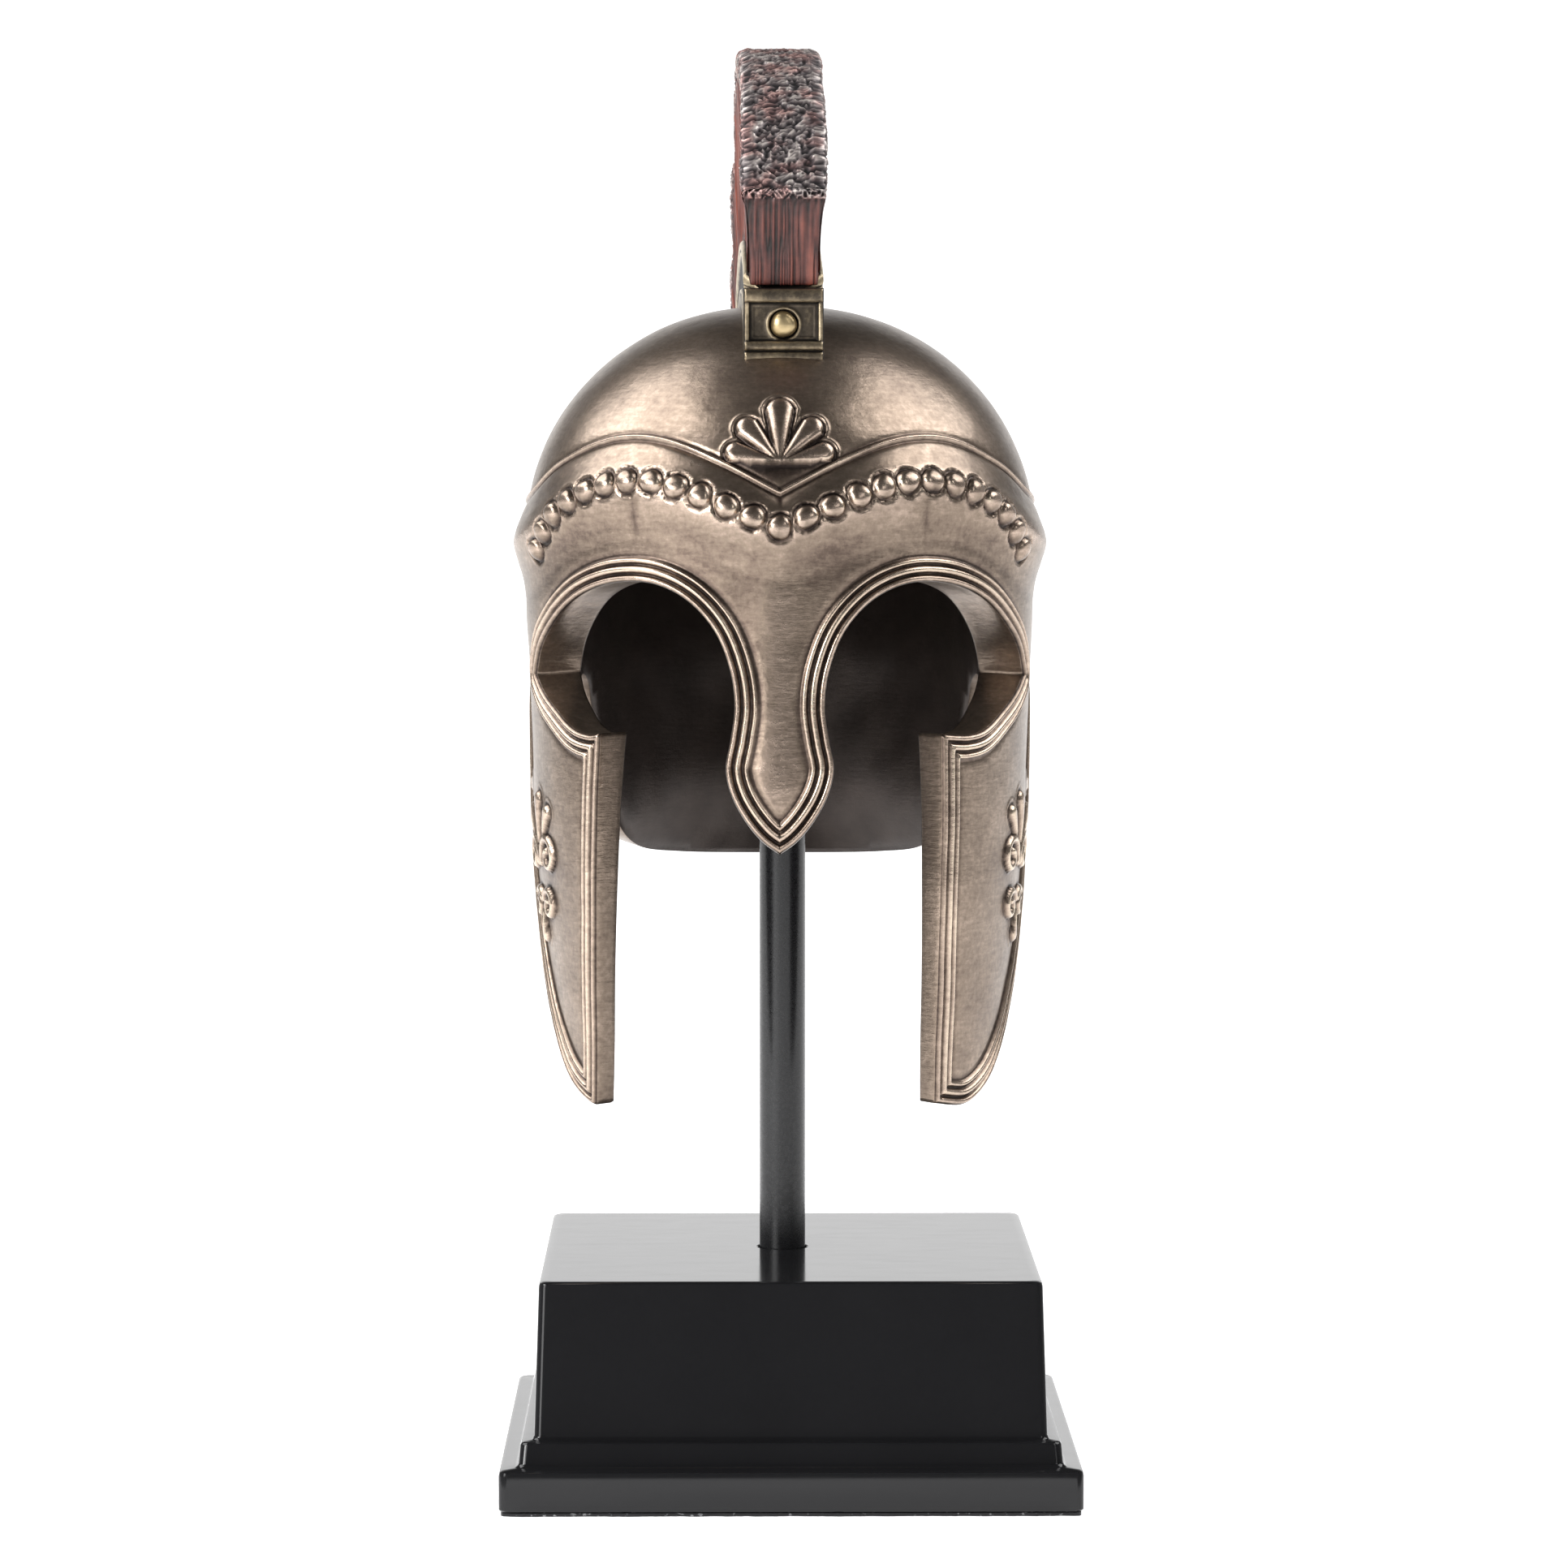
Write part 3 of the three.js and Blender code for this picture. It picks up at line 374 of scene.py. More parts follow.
def bead_height(angle, level, spots):
    """A domed pebble in a sunk ring, by the distance to the nearest bead, stretched a little by its turn."""
    radius = arc_radius(angle, level)
    reach = np.full(len(angle), 9.0)
    for k, (bead_angle, bead_level) in enumerate(spots):
        dx = wrap(angle - bead_angle) * radius
        dz = level - bead_level
        turn = np.arctan2(dz, dx)
        pebble = 1 + 0.045 * np.cos(2 * turn + 1.7 * k) + 0.03 * np.cos(3 * turn + 2.9 * k)
        reach = np.minimum(reach, np.hypot(dx, dz) * pebble)
    return through_rows(BEAD_PROFILE[:, 0], BEAD_PROFILE[:, 1], reach)


def teardrop_distance(x, z, turn, start, length, head):
    """Signed distance to a teardrop: a cone of two circles, a small one at the start, one in the head."""
    tail = 0.3 * head
    c, s = math.cos(turn), math.sin(turn)
    across = np.abs(x * c - z * s)
    along = x * s + z * c - start
    span = length - start - head
    slope = (tail - head) / span
    lean = math.sqrt(1 - slope * slope)
    k = along * lean - across * -slope
    side = across * lean + along * slope - tail
    near = np.hypot(across, along) - tail
    far = np.hypot(across, along - span) - head
    return np.where(k < 0, near, np.where(k > span * lean, far, side))


def petal_height(distance, head, rise):
    """Domed inside the teardrop, a sunk line round it, and a low lip beyond."""
    inside = np.clip(-distance / (0.75 * head), 0, 1)
    dome = rise * np.sqrt(1 - (1 - inside) ** 2)
    line = -0.34 * np.exp(-((distance - 0.30) / 0.28) ** 2)
    lip = 0.16 * np.exp(-((distance - 0.85) / 0.30) ** 2)
    return np.where(distance < 0, dome, 0) + np.where(distance < -0.3, 0, line) + lip


def palmette_height(angle, level):
    """Five petals fanned from one root; each place belongs to the petal that it is nearest to."""
    x = angle * arc_radius(np.zeros_like(level), level)
    z = level - PALMETTE_LEVEL
    best = np.full(len(angle), 99.0)
    height = np.zeros(len(angle))
    for turn, length, head in PETALS:
        distance = teardrop_distance(x, z, math.radians(turn), 0.6, length, head)
        nearer = distance < best
        height[nearer] = petal_height(distance, head, PETAL_RISE)[nearer]
        best = np.minimum(best, distance)
    return height


def spiral_points(x, z, radius, start, hand):
    """A spiral of one and a quarter turns whose radius closes to three tenths."""
    share = np.linspace(0, 1, 60)
    turn = math.radians(start) - 2 * math.pi * 1.25 * share
    reach = radius * (1 - 0.75 * share)
    return np.stack([hand * (x + reach * np.cos(turn)), z + reach * np.sin(turn)], axis=1)


def cheek_height(angle, level):
    """Two pairs of scrolls, half-round bars on spirals, under a palmette, with a drop below."""
    x = (np.abs(angle) - CHEEK_SPOT[0]) * arc_radius(np.abs(angle), level)
    z = level - CHEEK_SPOT[1]
    height = np.zeros(len(angle))
    for row in CHEEK_SCROLLS:
        for hand in (1, -1):
            curve = spiral_points(*row, hand)
            gap = np.hypot(x[:, None] - curve[:, 0], z[:, None] - curve[:, 1]).min(axis=1)
            bar = CHEEK_RISE * np.sqrt(np.clip(1 - (gap / 0.85) ** 2, 0, 1))
            height = np.maximum(height, bar - 0.2 * np.exp(-((gap - 1.15) / 0.3) ** 2))
    for turn, start, length, head in CHEEK_PETALS:
        distance = teardrop_distance(x, z, math.radians(turn), start, length, head)
        height = np.maximum(height, petal_height(distance, head, CHEEK_RISE))
    return height


def nose_ridge(angle, level):
    """A soft ridge down the middle of the brow and nose guard."""
    x = angle * NOMINAL_RADIUS
    along = smoothstep(126, 138, level) * (1 - smoothstep(174, 190, level))
    return 0.9 * np.exp(-(x / 5.5) ** 2) * along


def hand_waviness(points):
    """The slight unevenness of a wax model: three scales of soft noise, and a dent over one eye."""
    wave = 0.30 * (lattice_noise(points / 19.0, 1) - 0.5) + 0.16 * (lattice_noise(points / 8.0, 2) - 0.5)
    wave += 0.05 * (lattice_noise(points / 3.1, 3) - 0.5)
    dent = np.linalg.norm((points - (23.5, -44.0, 181.0)) * (0.7, 0.3, 1.3), axis=1)
    return wave - 0.25 * np.exp(-(dent / 0.9) ** 2)


# ------------------------------------------------------------------ meshes and attributes
def surface(name, points, faces, material, attributes=None, flat=False):
    """A mesh object from points in millimetres; faces is a list of arrays of triangles or quads."""
    mesh = bpy.data.meshes.new(name)
    sizes = np.concatenate([np.full(len(block), block.shape[1]) for block in faces])
    corners = np.concatenate([block.ravel() for block in faces]).astype(np.int32)
    mesh.vertices.add(len(points))
    mesh.vertices.foreach_set("co", (np.asarray(points) / 1000).astype(np.float32).ravel())
    mesh.loops.add(len(corners))
    mesh.loops.foreach_set("vertex_index", corners)
    mesh.polygons.add(len(sizes))
    mesh.polygons.foreach_set("loop_start", np.concatenate([[0], np.cumsum(sizes)[:-1]]).astype(np.int32))
    mesh.polygons.foreach_set("use_smooth", np.full(len(sizes), not flat))
    for key, values in (attributes or {}).items():
        layer = mesh.attributes.new(key, "FLOAT", "POINT")
        layer.data.foreach_set("value", np.asarray(values, np.float32))
    mesh.update(calc_edges=True)
    mesh.validate()
    mesh.materials.append(material)
    piece = bpy.data.objects.new(name, mesh)
    bpy.context.scene.collection.objects.link(piece)
    return piece


def dress(piece, node):
    """The piece rides on the body and stands for the node, whose own part is hidden."""
    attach(piece, "root")
    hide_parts(node)


def quads(rows, columns, loop_rows=False, loop_columns=False):
    """The four-sided faces of a grid of rows and columns, closed round where it loops."""
    r = np.arange(rows if loop_rows else rows - 1)[:, None]
    c = np.arange(columns if loop_columns else columns - 1)[None, :]
    r2, c2 = (r + 1) % rows, (c + 1) % columns
    return np.stack([r * columns + c, r * columns + c2, r2 * columns + c2, r2 * columns + c], -1).reshape(-1, 4)


def fan(ring, tip):
    """Triangles from a closed ring to a tip."""
    ring = np.asarray(ring)
    return np.stack([ring, np.roll(ring, -1), np.full(len(ring), tip)], axis=1)


def relax(values, pairs, rounds):
    """Each value becomes the mean of itself and its neighbours' mean, round after round."""
    count = np.bincount(pairs.ravel(), minlength=len(values))
    for _ in range(rounds):
        total = np.bincount(pairs[:, 0], values[pairs[:, 1]], len(values))
        total += np.bincount(pairs[:, 1], values[pairs[:, 0]], len(values))
        values = 0.5 * values + 0.5 * total / np.maximum(count, 1)
    return values


def edges_of(faces):
    """The pairs of neighbouring vertices in arrays of faces."""
    pairs = np.vstack([np.stack([block, np.roll(block, -1, axis=1)], -1).reshape(-1, 2) for block in faces])
    return np.unique(np.sort(pairs, axis=1), axis=0)


def raised_share(height, faces, gain):
    """How far a vertex stands above its surroundings: its height less the relaxed height, about 0.5."""
    pairs = edges_of(faces)
    near = height - relax(height, pairs, 6)
    wide = height - relax(height, pairs, 30)
    return np.clip(0.5 + gain * near + 0.45 * gain * wide, 0, 1)


# ------------------------------------------------------------------ the helmet's shell
def flattened(angle, level):
    """Angle and level on a plane, true to shape: the pole in the middle, its radius the exponential
    of the sum of level steps over the skin's radius."""
    steps = np.linspace(60, DOME_TOP - 0.4, 3000)
    reach = np.clip(np.cos(np.clip(steps - BROW_LEVEL, 0, None) / DOME_RISE), 1e-4, None)
    turns = np.concatenate([[0], np.cumsum(np.diff(steps) / (NOMINAL_RADIUS * reach[1:]))])
    radius = np.exp(-np.interp(level, steps, turns))
    radius = np.where(level > DOME_TOP - 0.41, 0, radius)
    return np.stack([radius * np.cos(angle), radius * np.sin(angle)], axis=1)


def spread_rows(spacing, lowest=74.0):
    """Rows of stations round the skull, each a half step on from the last, thinned towards the pole."""
    parts = []
    for k, level in enumerate(np.arange(lowest, DOME_TOP - 0.7, spacing)):
        reach = math.cos(max(level - BROW_LEVEL, 0) / DOME_RISE)
        count = max(7, round(2 * math.pi * 52 * reach / spacing))
        angle = wrap((np.arange(count) + 0.5 * (k % 2)) * 2 * math.pi / count)
        parts.append(np.stack([angle, np.full(count, level)], axis=1))
    parts.append(np.array([(0.0, DOME_TOP)]))
    return np.vstack(parts)


def moulding_stations(loop):
    """Angle, level, height and distance for every line across the moulding, up to where two sides meet."""
    starts, ways = edge_stations(loop)
    radius = arc_radius(starts[:, 0], starts[:, 1])
    inward = MOULDING[1:, 0]
    angle = starts[:, :1] + ways[:, :1] * inward / radius[:, None]
    level = starts[:, 1:] + ways[:, 1:] * inward
    height = np.broadcast_to(MOULDING[1:, 1], angle.shape)
    away = np.broadcast_to(inward, angle.shape)
    angle, level, height, away = (v.ravel() for v in (angle, level, height, away))
    keep = edge_distance(angle, level, loop) > away - 0.03
    return np.stack([wrap(angle), level, height], axis=1)[keep]


def band_stations():
    """Rows along the brow band, close together at its border, wider down the flare."""
    shares = np.linspace(0, 1, 15)[1:]
    flare = np.linspace(0.6, 11.5, 17)
    angle = np.concatenate([np.arange(-BAND_FADE_FROM, BAND_FADE_FROM, 0.5 / NOMINAL_RADIUS),
                            np.arange(BAND_FADE_FROM, BAND_END, 1.0 / NOMINAL_RADIUS),
                            np.arange(-BAND_END, -BAND_FADE_FROM, 1.0 / NOMINAL_RADIUS)])
    top = np.interp(np.abs(angle), *BORDER_RUN.T)[:, None]
    crest = np.interp(np.abs(angle), *RIDGE_RUN.T)[:, None]
    last = BAND_ROWS_ABOVE[-1]
    border = np.where(BAND_ROWS_ABOVE < top - crest, top - BAND_ROWS_ABOVE, np.nan)
    middle = np.where(top - crest > last + 0.5, top - last - shares * (top - crest - last), np.nan)
    level = np.hstack([border, middle, crest - flare])
    angle = np.broadcast_to(angle[:, None], level.shape)
    spots = np.stack([angle.ravel(), level.ravel()], axis=1)
    return spots[~np.isnan(spots[:, 1])]


def bead_stations(spots):
    """Rings of stations on each bead."""
    radii = np.array([0.5, 1.0, 1.35, 1.65, 1.88, 2.08, 2.28, 2.5])
    turn = np.arange(22) * 2 * math.pi / 22
    x = np.concatenate([[0], (radii[:, None] * np.cos(turn)).ravel()])
    z = np.concatenate([[0], (radii[:, None] * np.sin(turn)).ravel()])
    radius = arc_radius(spots[:, 0], spots[:, 1])[:, None]
    return np.stack([(spots[:, :1] + x / radius).ravel(), (spots[:, 1:] + z).ravel()], axis=1)


def patch_stations(angle, level, half_width, low, high, spacing):
    """A fine even patch of the skin, in millimetres round a spot."""
    x, z = np.meshgrid(np.arange(-half_width, half_width, spacing), np.arange(low, high, spacing))
    radius = arc_radius(np.full(x.size, angle), level + z.ravel())
    return np.stack([angle + x.ravel() / radius, level + z.ravel()], axis=1)


def near_patch(spots, angle, level, half_width, low, high):
    """Which stations lie inside a patch."""
    x = np.abs(wrap(spots[:, 0] - angle)) * arc_radius(spots[:, 0], spots[:, 1])
    z = spots[:, 1] - level
    return (x < half_width) & (z > low) & (z < high)


def outer_stations(loop, beads):
    """Stations for the outer face: the finest kind that reaches a place wins."""
    fine_zone = (0.0, PALMETTE_LEVEL, 14.0, 0.5, 15.5)
    cheeks = [(side * CHEEK_SPOT[0], CHEEK_SPOT[1], 10.5, -15.5, 16.5) for side in (1, -1)]
    bead_points = bead_stations(beads)
    band = band_stations()
    far = np.ones(len(band), bool)
    radius = arc_radius(band[:, 0], band[:, 1])
    for angle, level in beads:
        far &= np.hypot(wrap(band[:, 0] - angle) * radius, band[:, 1] - level) > 2.62
    band = band[far]
    palmette = patch_stations(*fine_zone, 0.27)
    above = palmette[:, 1] > np.interp(np.abs(palmette[:, 0]), *BORDER_RUN.T) + 2.0
    palmette = palmette[above]
    ornament = np.vstack([patch_stations(*zone, 0.42) for zone in cheeks])
    field = spread_rows(1.15)
    side = np.abs(field[:, 0])
    top = np.interp(side, *BORDER_RUN.T)
    crest = np.interp(side, *RIDGE_RUN.T)
    keep = (field[:, 1] > top + 2.3) | (field[:, 1] < crest - 12.0) | (side > BAND_END)
    keep &= ~near_patch(field, *fine_zone[:2], 14.4, 0.0, 15.9)
    for zone in cheeks:
        keep &= ~near_patch(field, *zone)
    inner = np.vstack([bead_points, band, palmette, ornament, field[keep]])
    clear = edge_distance(inner[:, 0], inner[:, 1], loop) > MOULDING_REACH + 0.3
    return inner[clear]


def triangulated(loop, stations):
    """Triangles between the loop and the stations inside it, even on the true-to-shape plane."""
    spots = np.vstack([loop, stations])
    plane = flattened(spots[:, 0], spots[:, 1])
    result = delaunay_2d_cdt([Vector(p) for p in plane.tolist()], [], [list(range(len(loop)))], 1, 1e-9)
    origin = np.array([ids[0] if ids else -1 for ids in result[3]])
    faces = origin[np.array(result[2])]
    return faces[(faces >= 0).all(axis=1)]


def compact(faces, first, count):
    """Drops the stations that no face uses; the first ones stay. Returns the kept and the new faces."""
    used = np.zeros(count, bool)
    used[faces.ravel()] = True
    used[:first] = True
    number = np.cumsum(used) - 1
    return used, number[faces]


def outer_sheet(loop):
    """Stations, heights and faces of the shell's outer face."""
    beads = bead_spots()
    moulding = moulding_stations(loop)
    plain = outer_stations(loop, beads)
    height = nose_ridge(*plain.T) + band_height(*plain.T)
    near_beads = height > 0.15
    height[near_beads] += bead_height(*plain[near_beads].T, beads)
    crown = near_patch(plain, 0.0, PALMETTE_LEVEL, 14.0, 0.3, 15.5)
    height[crown] += palmette_height(*plain[crown].T)
    for side in (1, -1):
        cheek = near_patch(plain, side * CHEEK_SPOT[0], CHEEK_SPOT[1], 10.5, -15.5, 16.5)
        height[cheek] += cheek_height(*plain[cheek].T)
    stations = np.vstack([loop, moulding[:, :2], plain])
    height = np.concatenate([np.full(len(loop), MOULDING[0, 1]), moulding[:, 2], height])
    nose = nose_ridge(*stations.T)
    height[:len(loop) + len(moulding)] += nose[:len(loop) + len(moulding)]
    faces = triangulated(loop, stations[len(loop):])
    used, faces = compact(faces, len(loop), len(stations))
    return stations[used], height[used], faces


def wall_at(level):
    return through_rows(WALLS[:, 0], WALLS[:, 1], level)


def inner_sheet(loop):
    """Stations and faces of the shell's inner face, at the wall's depth under the skin."""
    rows = spread_rows(2.4)
    rows = rows[edge_distance(rows[:, 0], rows[:, 1], loop) > 1.3]
    stations = np.vstack([loop, rows])
    faces = triangulated(loop, rows)
    used, faces = compact(faces, len(loop), len(stations))
    return stations[used], faces


def cut_rows(loop):
    """The cut face between the two: straight through the wall, its two corners eased."""
    shares = np.array([0.03, 0.08, 0.2, 0.4, 0.6, 0.8, 0.92, 0.97])
    eased = np.array([-0.03, -0.10, -0.12, -0.12, -0.12, -0.12, -0.10, -0.03])
    starts, ways = loop, edge_ways(loop)
    radius = arc_radius(starts[:, 0], starts[:, 1])
    rows = []
    for share, inward in zip(shares, eased):
        angle = starts[:, 0] + ways[:, 0] * inward / radius
        level = starts[:, 1] + ways[:, 1] * inward
        height = MOULDING[0, 1] * (1 - share) - wall_at(starts[:, 1]) * share
        rows.append(skin(angle, level, height + nose_ridge(angle, level) * (1 - share)))
    return np.stack(rows), shares


def edge_ways(loop):
    """The mitre direction at every station of the loop."""
    radius = arc_radius(loop[:, 0], loop[:, 1])
    around = np.roll(loop, -1, axis=0) - np.roll(loop, 1, axis=0)
    dx, dz = wrap(around[:, 0]) * radius, around[:, 1]
    way = np.stack([-dz, dx], axis=1)
    return way / np.linalg.norm(way, axis=1, keepdims=True)


def helmet_shell(material):
    """Outer face, cut face and inner face as one closed wall."""
    loop = edge_loop()
    m = len(loop)
    outer, height, outer_faces = outer_sheet(loop)
    base = skin_base(outer[:, 0], outer[:, 1])
    outer_points = skin(outer[:, 0], outer[:, 1], height + hand_waviness(base))
    inner, inner_faces = inner_sheet(loop)
    inner_base = skin_base(inner[:, 0], inner[:, 1])
    rough = 0.5 * (lattice_noise(inner_base / 6.0, 5) - 0.5) + 0.25 * (lattice_noise(inner_base / 2.7, 6) - 0.5)
    rough[:m] = 0
    inner_points = skin(inner[:, 0], inner[:, 1], rough - wall_at(inner[:, 1]))
    cut, shares = cut_rows(loop)
    k = len(shares)
    cut_start = len(outer_points)
    inner_start = cut_start + k * m
    cut_ids = np.vstack([np.arange(m), cut_start + np.arange(k * m).reshape(k, m), inner_start + np.arange(m)])
    strip = quads(k + 2, m, loop_columns=True)
    faces = [outer_faces, inner_faces[:, ::-1] + inner_start, cut_ids.ravel()[strip][:, ::-1]]
    points = np.vstack([outer_points, cut.reshape(-1, 3), inner_points])
    wear = np.concatenate([
        raised_share(height, [outer_faces], 0.85),
        np.tile(0.52, k * m), np.full(len(inner_points), 0.4),
    ])
    # painted shade mask: 1 on the inner face, rising to 0.35 across the cut face towards it; the finish darkens the
    # colour by it
    inside = np.concatenate([np.zeros(len(outer_points)), np.repeat(0.35 * shares, m), np.ones(len(inner_points))])
    cut_face = np.concatenate([np.zeros(len(outer_points)), np.ones(k * m), np.zeros(len(inner_points))])
    points[:, 0] += HELMET_SHIFT
    piece = surface("shell_casting", points, faces, material,
                    {"wear": wear, "inside": inside, "cut": cut_face})
    dress(piece, "helmet_shell")


def turned(profile, sides=96):
    """A closed body of revolution from rows of radius and level, starting and ending on the axis."""
    profile = np.asarray(profile, float)
    turn = np.arange(sides) * 2 * math.pi / sides
    body = profile[1:-1]
    x = body[:, :1] * np.cos(turn)
    y = body[:, :1] * np.sin(turn)
    z = np.broadcast_to(body[:, 1:], x.shape)
    points = np.vstack([np.stack([x, y, z], -1).reshape(-1, 3), [(0, 0, profile[0, 1])], [(0, 0, profile[-1, 1])]])
    rows = len(body)
    last = (rows - 1) * sides + np.arange(sides)
    faces = [quads(rows, sides, loop_columns=True), fan(np.arange(sides)[::-1], rows * sides),
             fan(last, rows * sides + 1)]
    return points, faces


def crown_boss(material):
    """The boss under the crown with its blind bore, rounded at the mouth."""
    bore = ROD_RADIUS + 0.3
    profile = [(0, 212), (bore, 212), (bore, 196.6), (bore + 0.5, 196), (8.2, 196), (8.8, 196.4), (9.1, 197.2),
               (9.1, 208), (9.6, 214), (11, 219), (9, 222), (0, 223)]
    points, faces = turned(profile, 64)
    ones = np.ones(len(points))
    # the boss counts as inside, so it takes the painted shade colour of the helmet's inside
    piece = surface("shell_crown_boss", points, faces, material, {"wear": 0.4 * ones, "inside": ones, "cut": 0 * ones})
    dress(piece, "helmet_shell")


# ------------------------------------------------------------------ the crest
def crown_path():
    """Levels counted over the crown: a run from the brow, over the top at DOME_TOP, down the back."""
    levels = np.concatenate([np.linspace(196, DOME_TOP - 0.6, 300), np.linspace(DOME_TOP - 0.6, 130, 600)])
    behind = np.concatenate([np.zeros(300), np.full(600, math.pi)])
    return behind, levels


def crown_line(height, spacing, front_y, rear_level):
    """A line over the crown at a height, from where it meets the holder's front plane, evenly spaced."""
    behind, levels = crown_path()
    line = skin(behind, levels, height)[:, 1:]
    stop = np.flatnonzero((behind > 1) & (levels < rear_level))[0]
    line = line[:stop]
    first = np.flatnonzero(line[:, 0] > front_y)[0]
    share = (front_y - line[first - 1, 0]) / (line[first, 0] - line[first - 1, 0])
    start = line[first - 1] + share * (line[first] - line[first - 1])
    line = np.vstack([start, line[first:]])
    along = np.concatenate([[0], np.cumsum(np.linalg.norm(np.diff(line, axis=0), axis=1))])
    return line, along


def set_on_helmet(points):
    """The crest's slight turn on the helmet."""
    c, s = math.cos(CREST_TURN), math.sin(CREST_TURN)
    x, y, z = points.T
    return np.stack([c * x - s * y + HELMET_SHIFT, s * x + c * y, z], axis=1)


# Across one side of the holder, from inside the skull to the hair: half width, height over the skull.
HOLDER_SECTION = np.array([
    (7.60, -1.6), (7.62, 0.3), (7.62, 1.5), (7.5, 1.9), (7.2, 2.1), (7.2, 2.35), (7.5, 2.5), (7.5, 3.0),
    (7.2, 3.25), (6.95, 3.5), (6.9, 4.2), (6.9, 8.6), (6.95, 9.3), (7.2, 9.55), (7.5, 9.8), (7.5, 10.25),
    (7.2, 10.45), (7.2, 10.65), (7.55, 10.85), (7.65, 11.4), (7.55, 12.1), (7.2, 12.5), (6.7, 12.6),
    (6.3, 12.45), (6.1, 12.0), (6.0, 11.0),
])


def holder_body(material):
    """The channel: its section carried over the crown, each line of it starting at the front plane."""
    section = np.vstack([HOLDER_SECTION, HOLDER_SECTION[::-1] * (-1, 1)])
    count = 260
    rows = []
    for half, height in section:
        line, along = crown_line(min(height, HOLDER_HEIGHT), 0.6, HOLDER_FRONT_Y + 1.7, HOLDER_REAR_LEVEL)
        places = np.linspace(0, along[-1], count)
        y, z = np.interp(places, along, line[:, 0]), np.interp(places, along, line[:, 1])
        rows.append(np.stack([np.full(count, half), y, z], axis=1))
    grid = np.stack(rows, axis=1)
    grid[..., 0] += 0.10 * (lattice_noise(grid.reshape(-1, 3) / 4.0, 9).reshape(grid.shape[:2]) - 0.5)
    points = grid.reshape(-1, 3)
    n = len(section)
    caps = []
    for row in (0, count - 1):
        middle = grid[row].mean(axis=0)
        points = np.vstack([points, middle])
        ring = row * n + np.arange(n)
        caps.append(fan(ring if row else ring[::-1], len(points) - 1))
    faces = [quads(count, n, loop_columns=True)] + caps
    depth = np.concatenate([np.tile(np.abs(section[:, 0]), count), [7.0, 7.0]])
    wear = raised_share(depth, faces, 1.6)
    piece = surface("holder_channel", set_on_helmet(points), faces, material, {"wear": wear})
    dress(piece, "crest_holder")


def holder_front(material):
    """The front panel: a plate on x and z, its relief a sum of ribs and a sunk field with a seat."""
    nx, nz = 78, 104
    top, bottom = 230.4, 214.5
    x, z = np.meshgrid(np.linspace(-HOLDER_HALF, HOLDER_HALF, nx), np.linspace(bottom, top, nz))
    def rib(low, high, rise):
        middle, half = (low + high) / 2, (high - low) / 2
        return rise * np.sqrt(np.clip(1 - ((z - middle) / half) ** 2, 0, 1))
    relief = np.full(x.shape, 0.35)
    relief += rib(227.7, 230.3, 0.65) + rib(218.55, 220.25, 0.7) + rib(216.5, 218.3, 0.6) - rib(218.2, 218.6, 0.25)
    field = smoothstep(6.75, 6.35, np.abs(x)) * smoothstep(220.2, 220.6, z) * smoothstep(227.8, 227.4, z)
    relief -= 0.95 * field
    inner = smoothstep(5.9, 5.6, np.abs(x)) * smoothstep(221.0, 221.3, z) * smoothstep(227.0, 226.7, z)
    relief += 0.12 * field * (1 - inner)
    reach = np.hypot(x, z - STUD_Z)
    relief += 0.35 * np.exp(-((reach - 3.1) / 0.35) ** 2) * field - 0.3 * smoothstep(2.9, 2.6, reach)
    edge = np.minimum(HOLDER_HALF - np.abs(x), top - z)
    relief -= 0.55 * np.clip(1 - edge / 0.45, 0, 1) ** 2
    spots = np.stack([x.ravel(), np.zeros(x.size), z.ravel()], axis=1)
    relief = relief + 0.22 * (lattice_noise(spots / 2.3, 11).reshape(x.shape) - 0.5)
    front = np.stack([x, HOLDER_FRONT_Y - relief, z], -1).reshape(-1, 3)
    back = np.stack([x, np.full(x.shape, HOLDER_FRONT_Y + 2.2), z], -1).reshape(-1, 3)
    faces = [quads(nz, nx), quads(nz, nx)[:, ::-1] + nx * nz]
    ids = np.arange(nx * nz).reshape(nz, nx)
    rim = np.concatenate([ids[0, :-1], ids[:-1, -1], ids[-1, :0:-1], ids[:0:-1, 0]])
    after = np.roll(rim, -1)
    faces.append(np.stack([rim, rim + nx * nz, after + nx * nz, after], axis=1))
    wear = raised_share(relief.ravel(), [faces[0]], 1.3)
    wear = np.concatenate([wear, wear])
    piece = surface("holder_front_panel", set_on_helmet(np.vstack([front, back])), faces, material, {"wear": wear})
    dress(piece, "crest_holder")


def holder_stud(material):
    """A round-headed stud: a domed profile turned about a line along Y, slightly uneven."""
    rings = np.array([(1.2, 2.6), (1.2, 0.3), (2.0, 0.3), (2.42, 0.15), (2.5, -0.15), (2.45, -0.5), (2.2, -0.95),
                      (1.8, -1.3), (1.3, -1.52), (0.7, -1.65)])
    sides = 48
    turn = np.arange(sides) * 2 * math.pi / sides
    uneven = 1 + 0.03 * np.cos(3 * turn + 0.7)
    x = rings[:, :1] * np.cos(turn) * uneven
    z = rings[:, :1] * np.sin(turn) * uneven + STUD_Z
    y = np.broadcast_to(rings[:, 1:] + HOLDER_FRONT_Y + 0.6, x.shape)
    points = np.stack([x, y, z], -1).reshape(-1, 3)
    seat = HOLDER_FRONT_Y + 0.6
    points = np.vstack([points, (0, seat + 2.6, STUD_Z), (0, seat - 1.7, STUD_Z)])
    n = len(rings)
    faces = [quads(n, sides, loop_columns=True), fan(np.arange(sides)[::-1], n * sides),
             fan((n - 1) * sides + np.arange(sides), n * sides + 1)]
    wear = np.concatenate([np.repeat(np.interp(rings[:, 1], (-1.65, 0.3), (0.75, 0.2)), sides), [0.2, 0.75]])
    piece = surface("holder_stud_head", set_on_helmet(points), [f[:, ::-1] for f in faces], material, {"wear": wear})
    dress(piece, "crest_holder_stud")


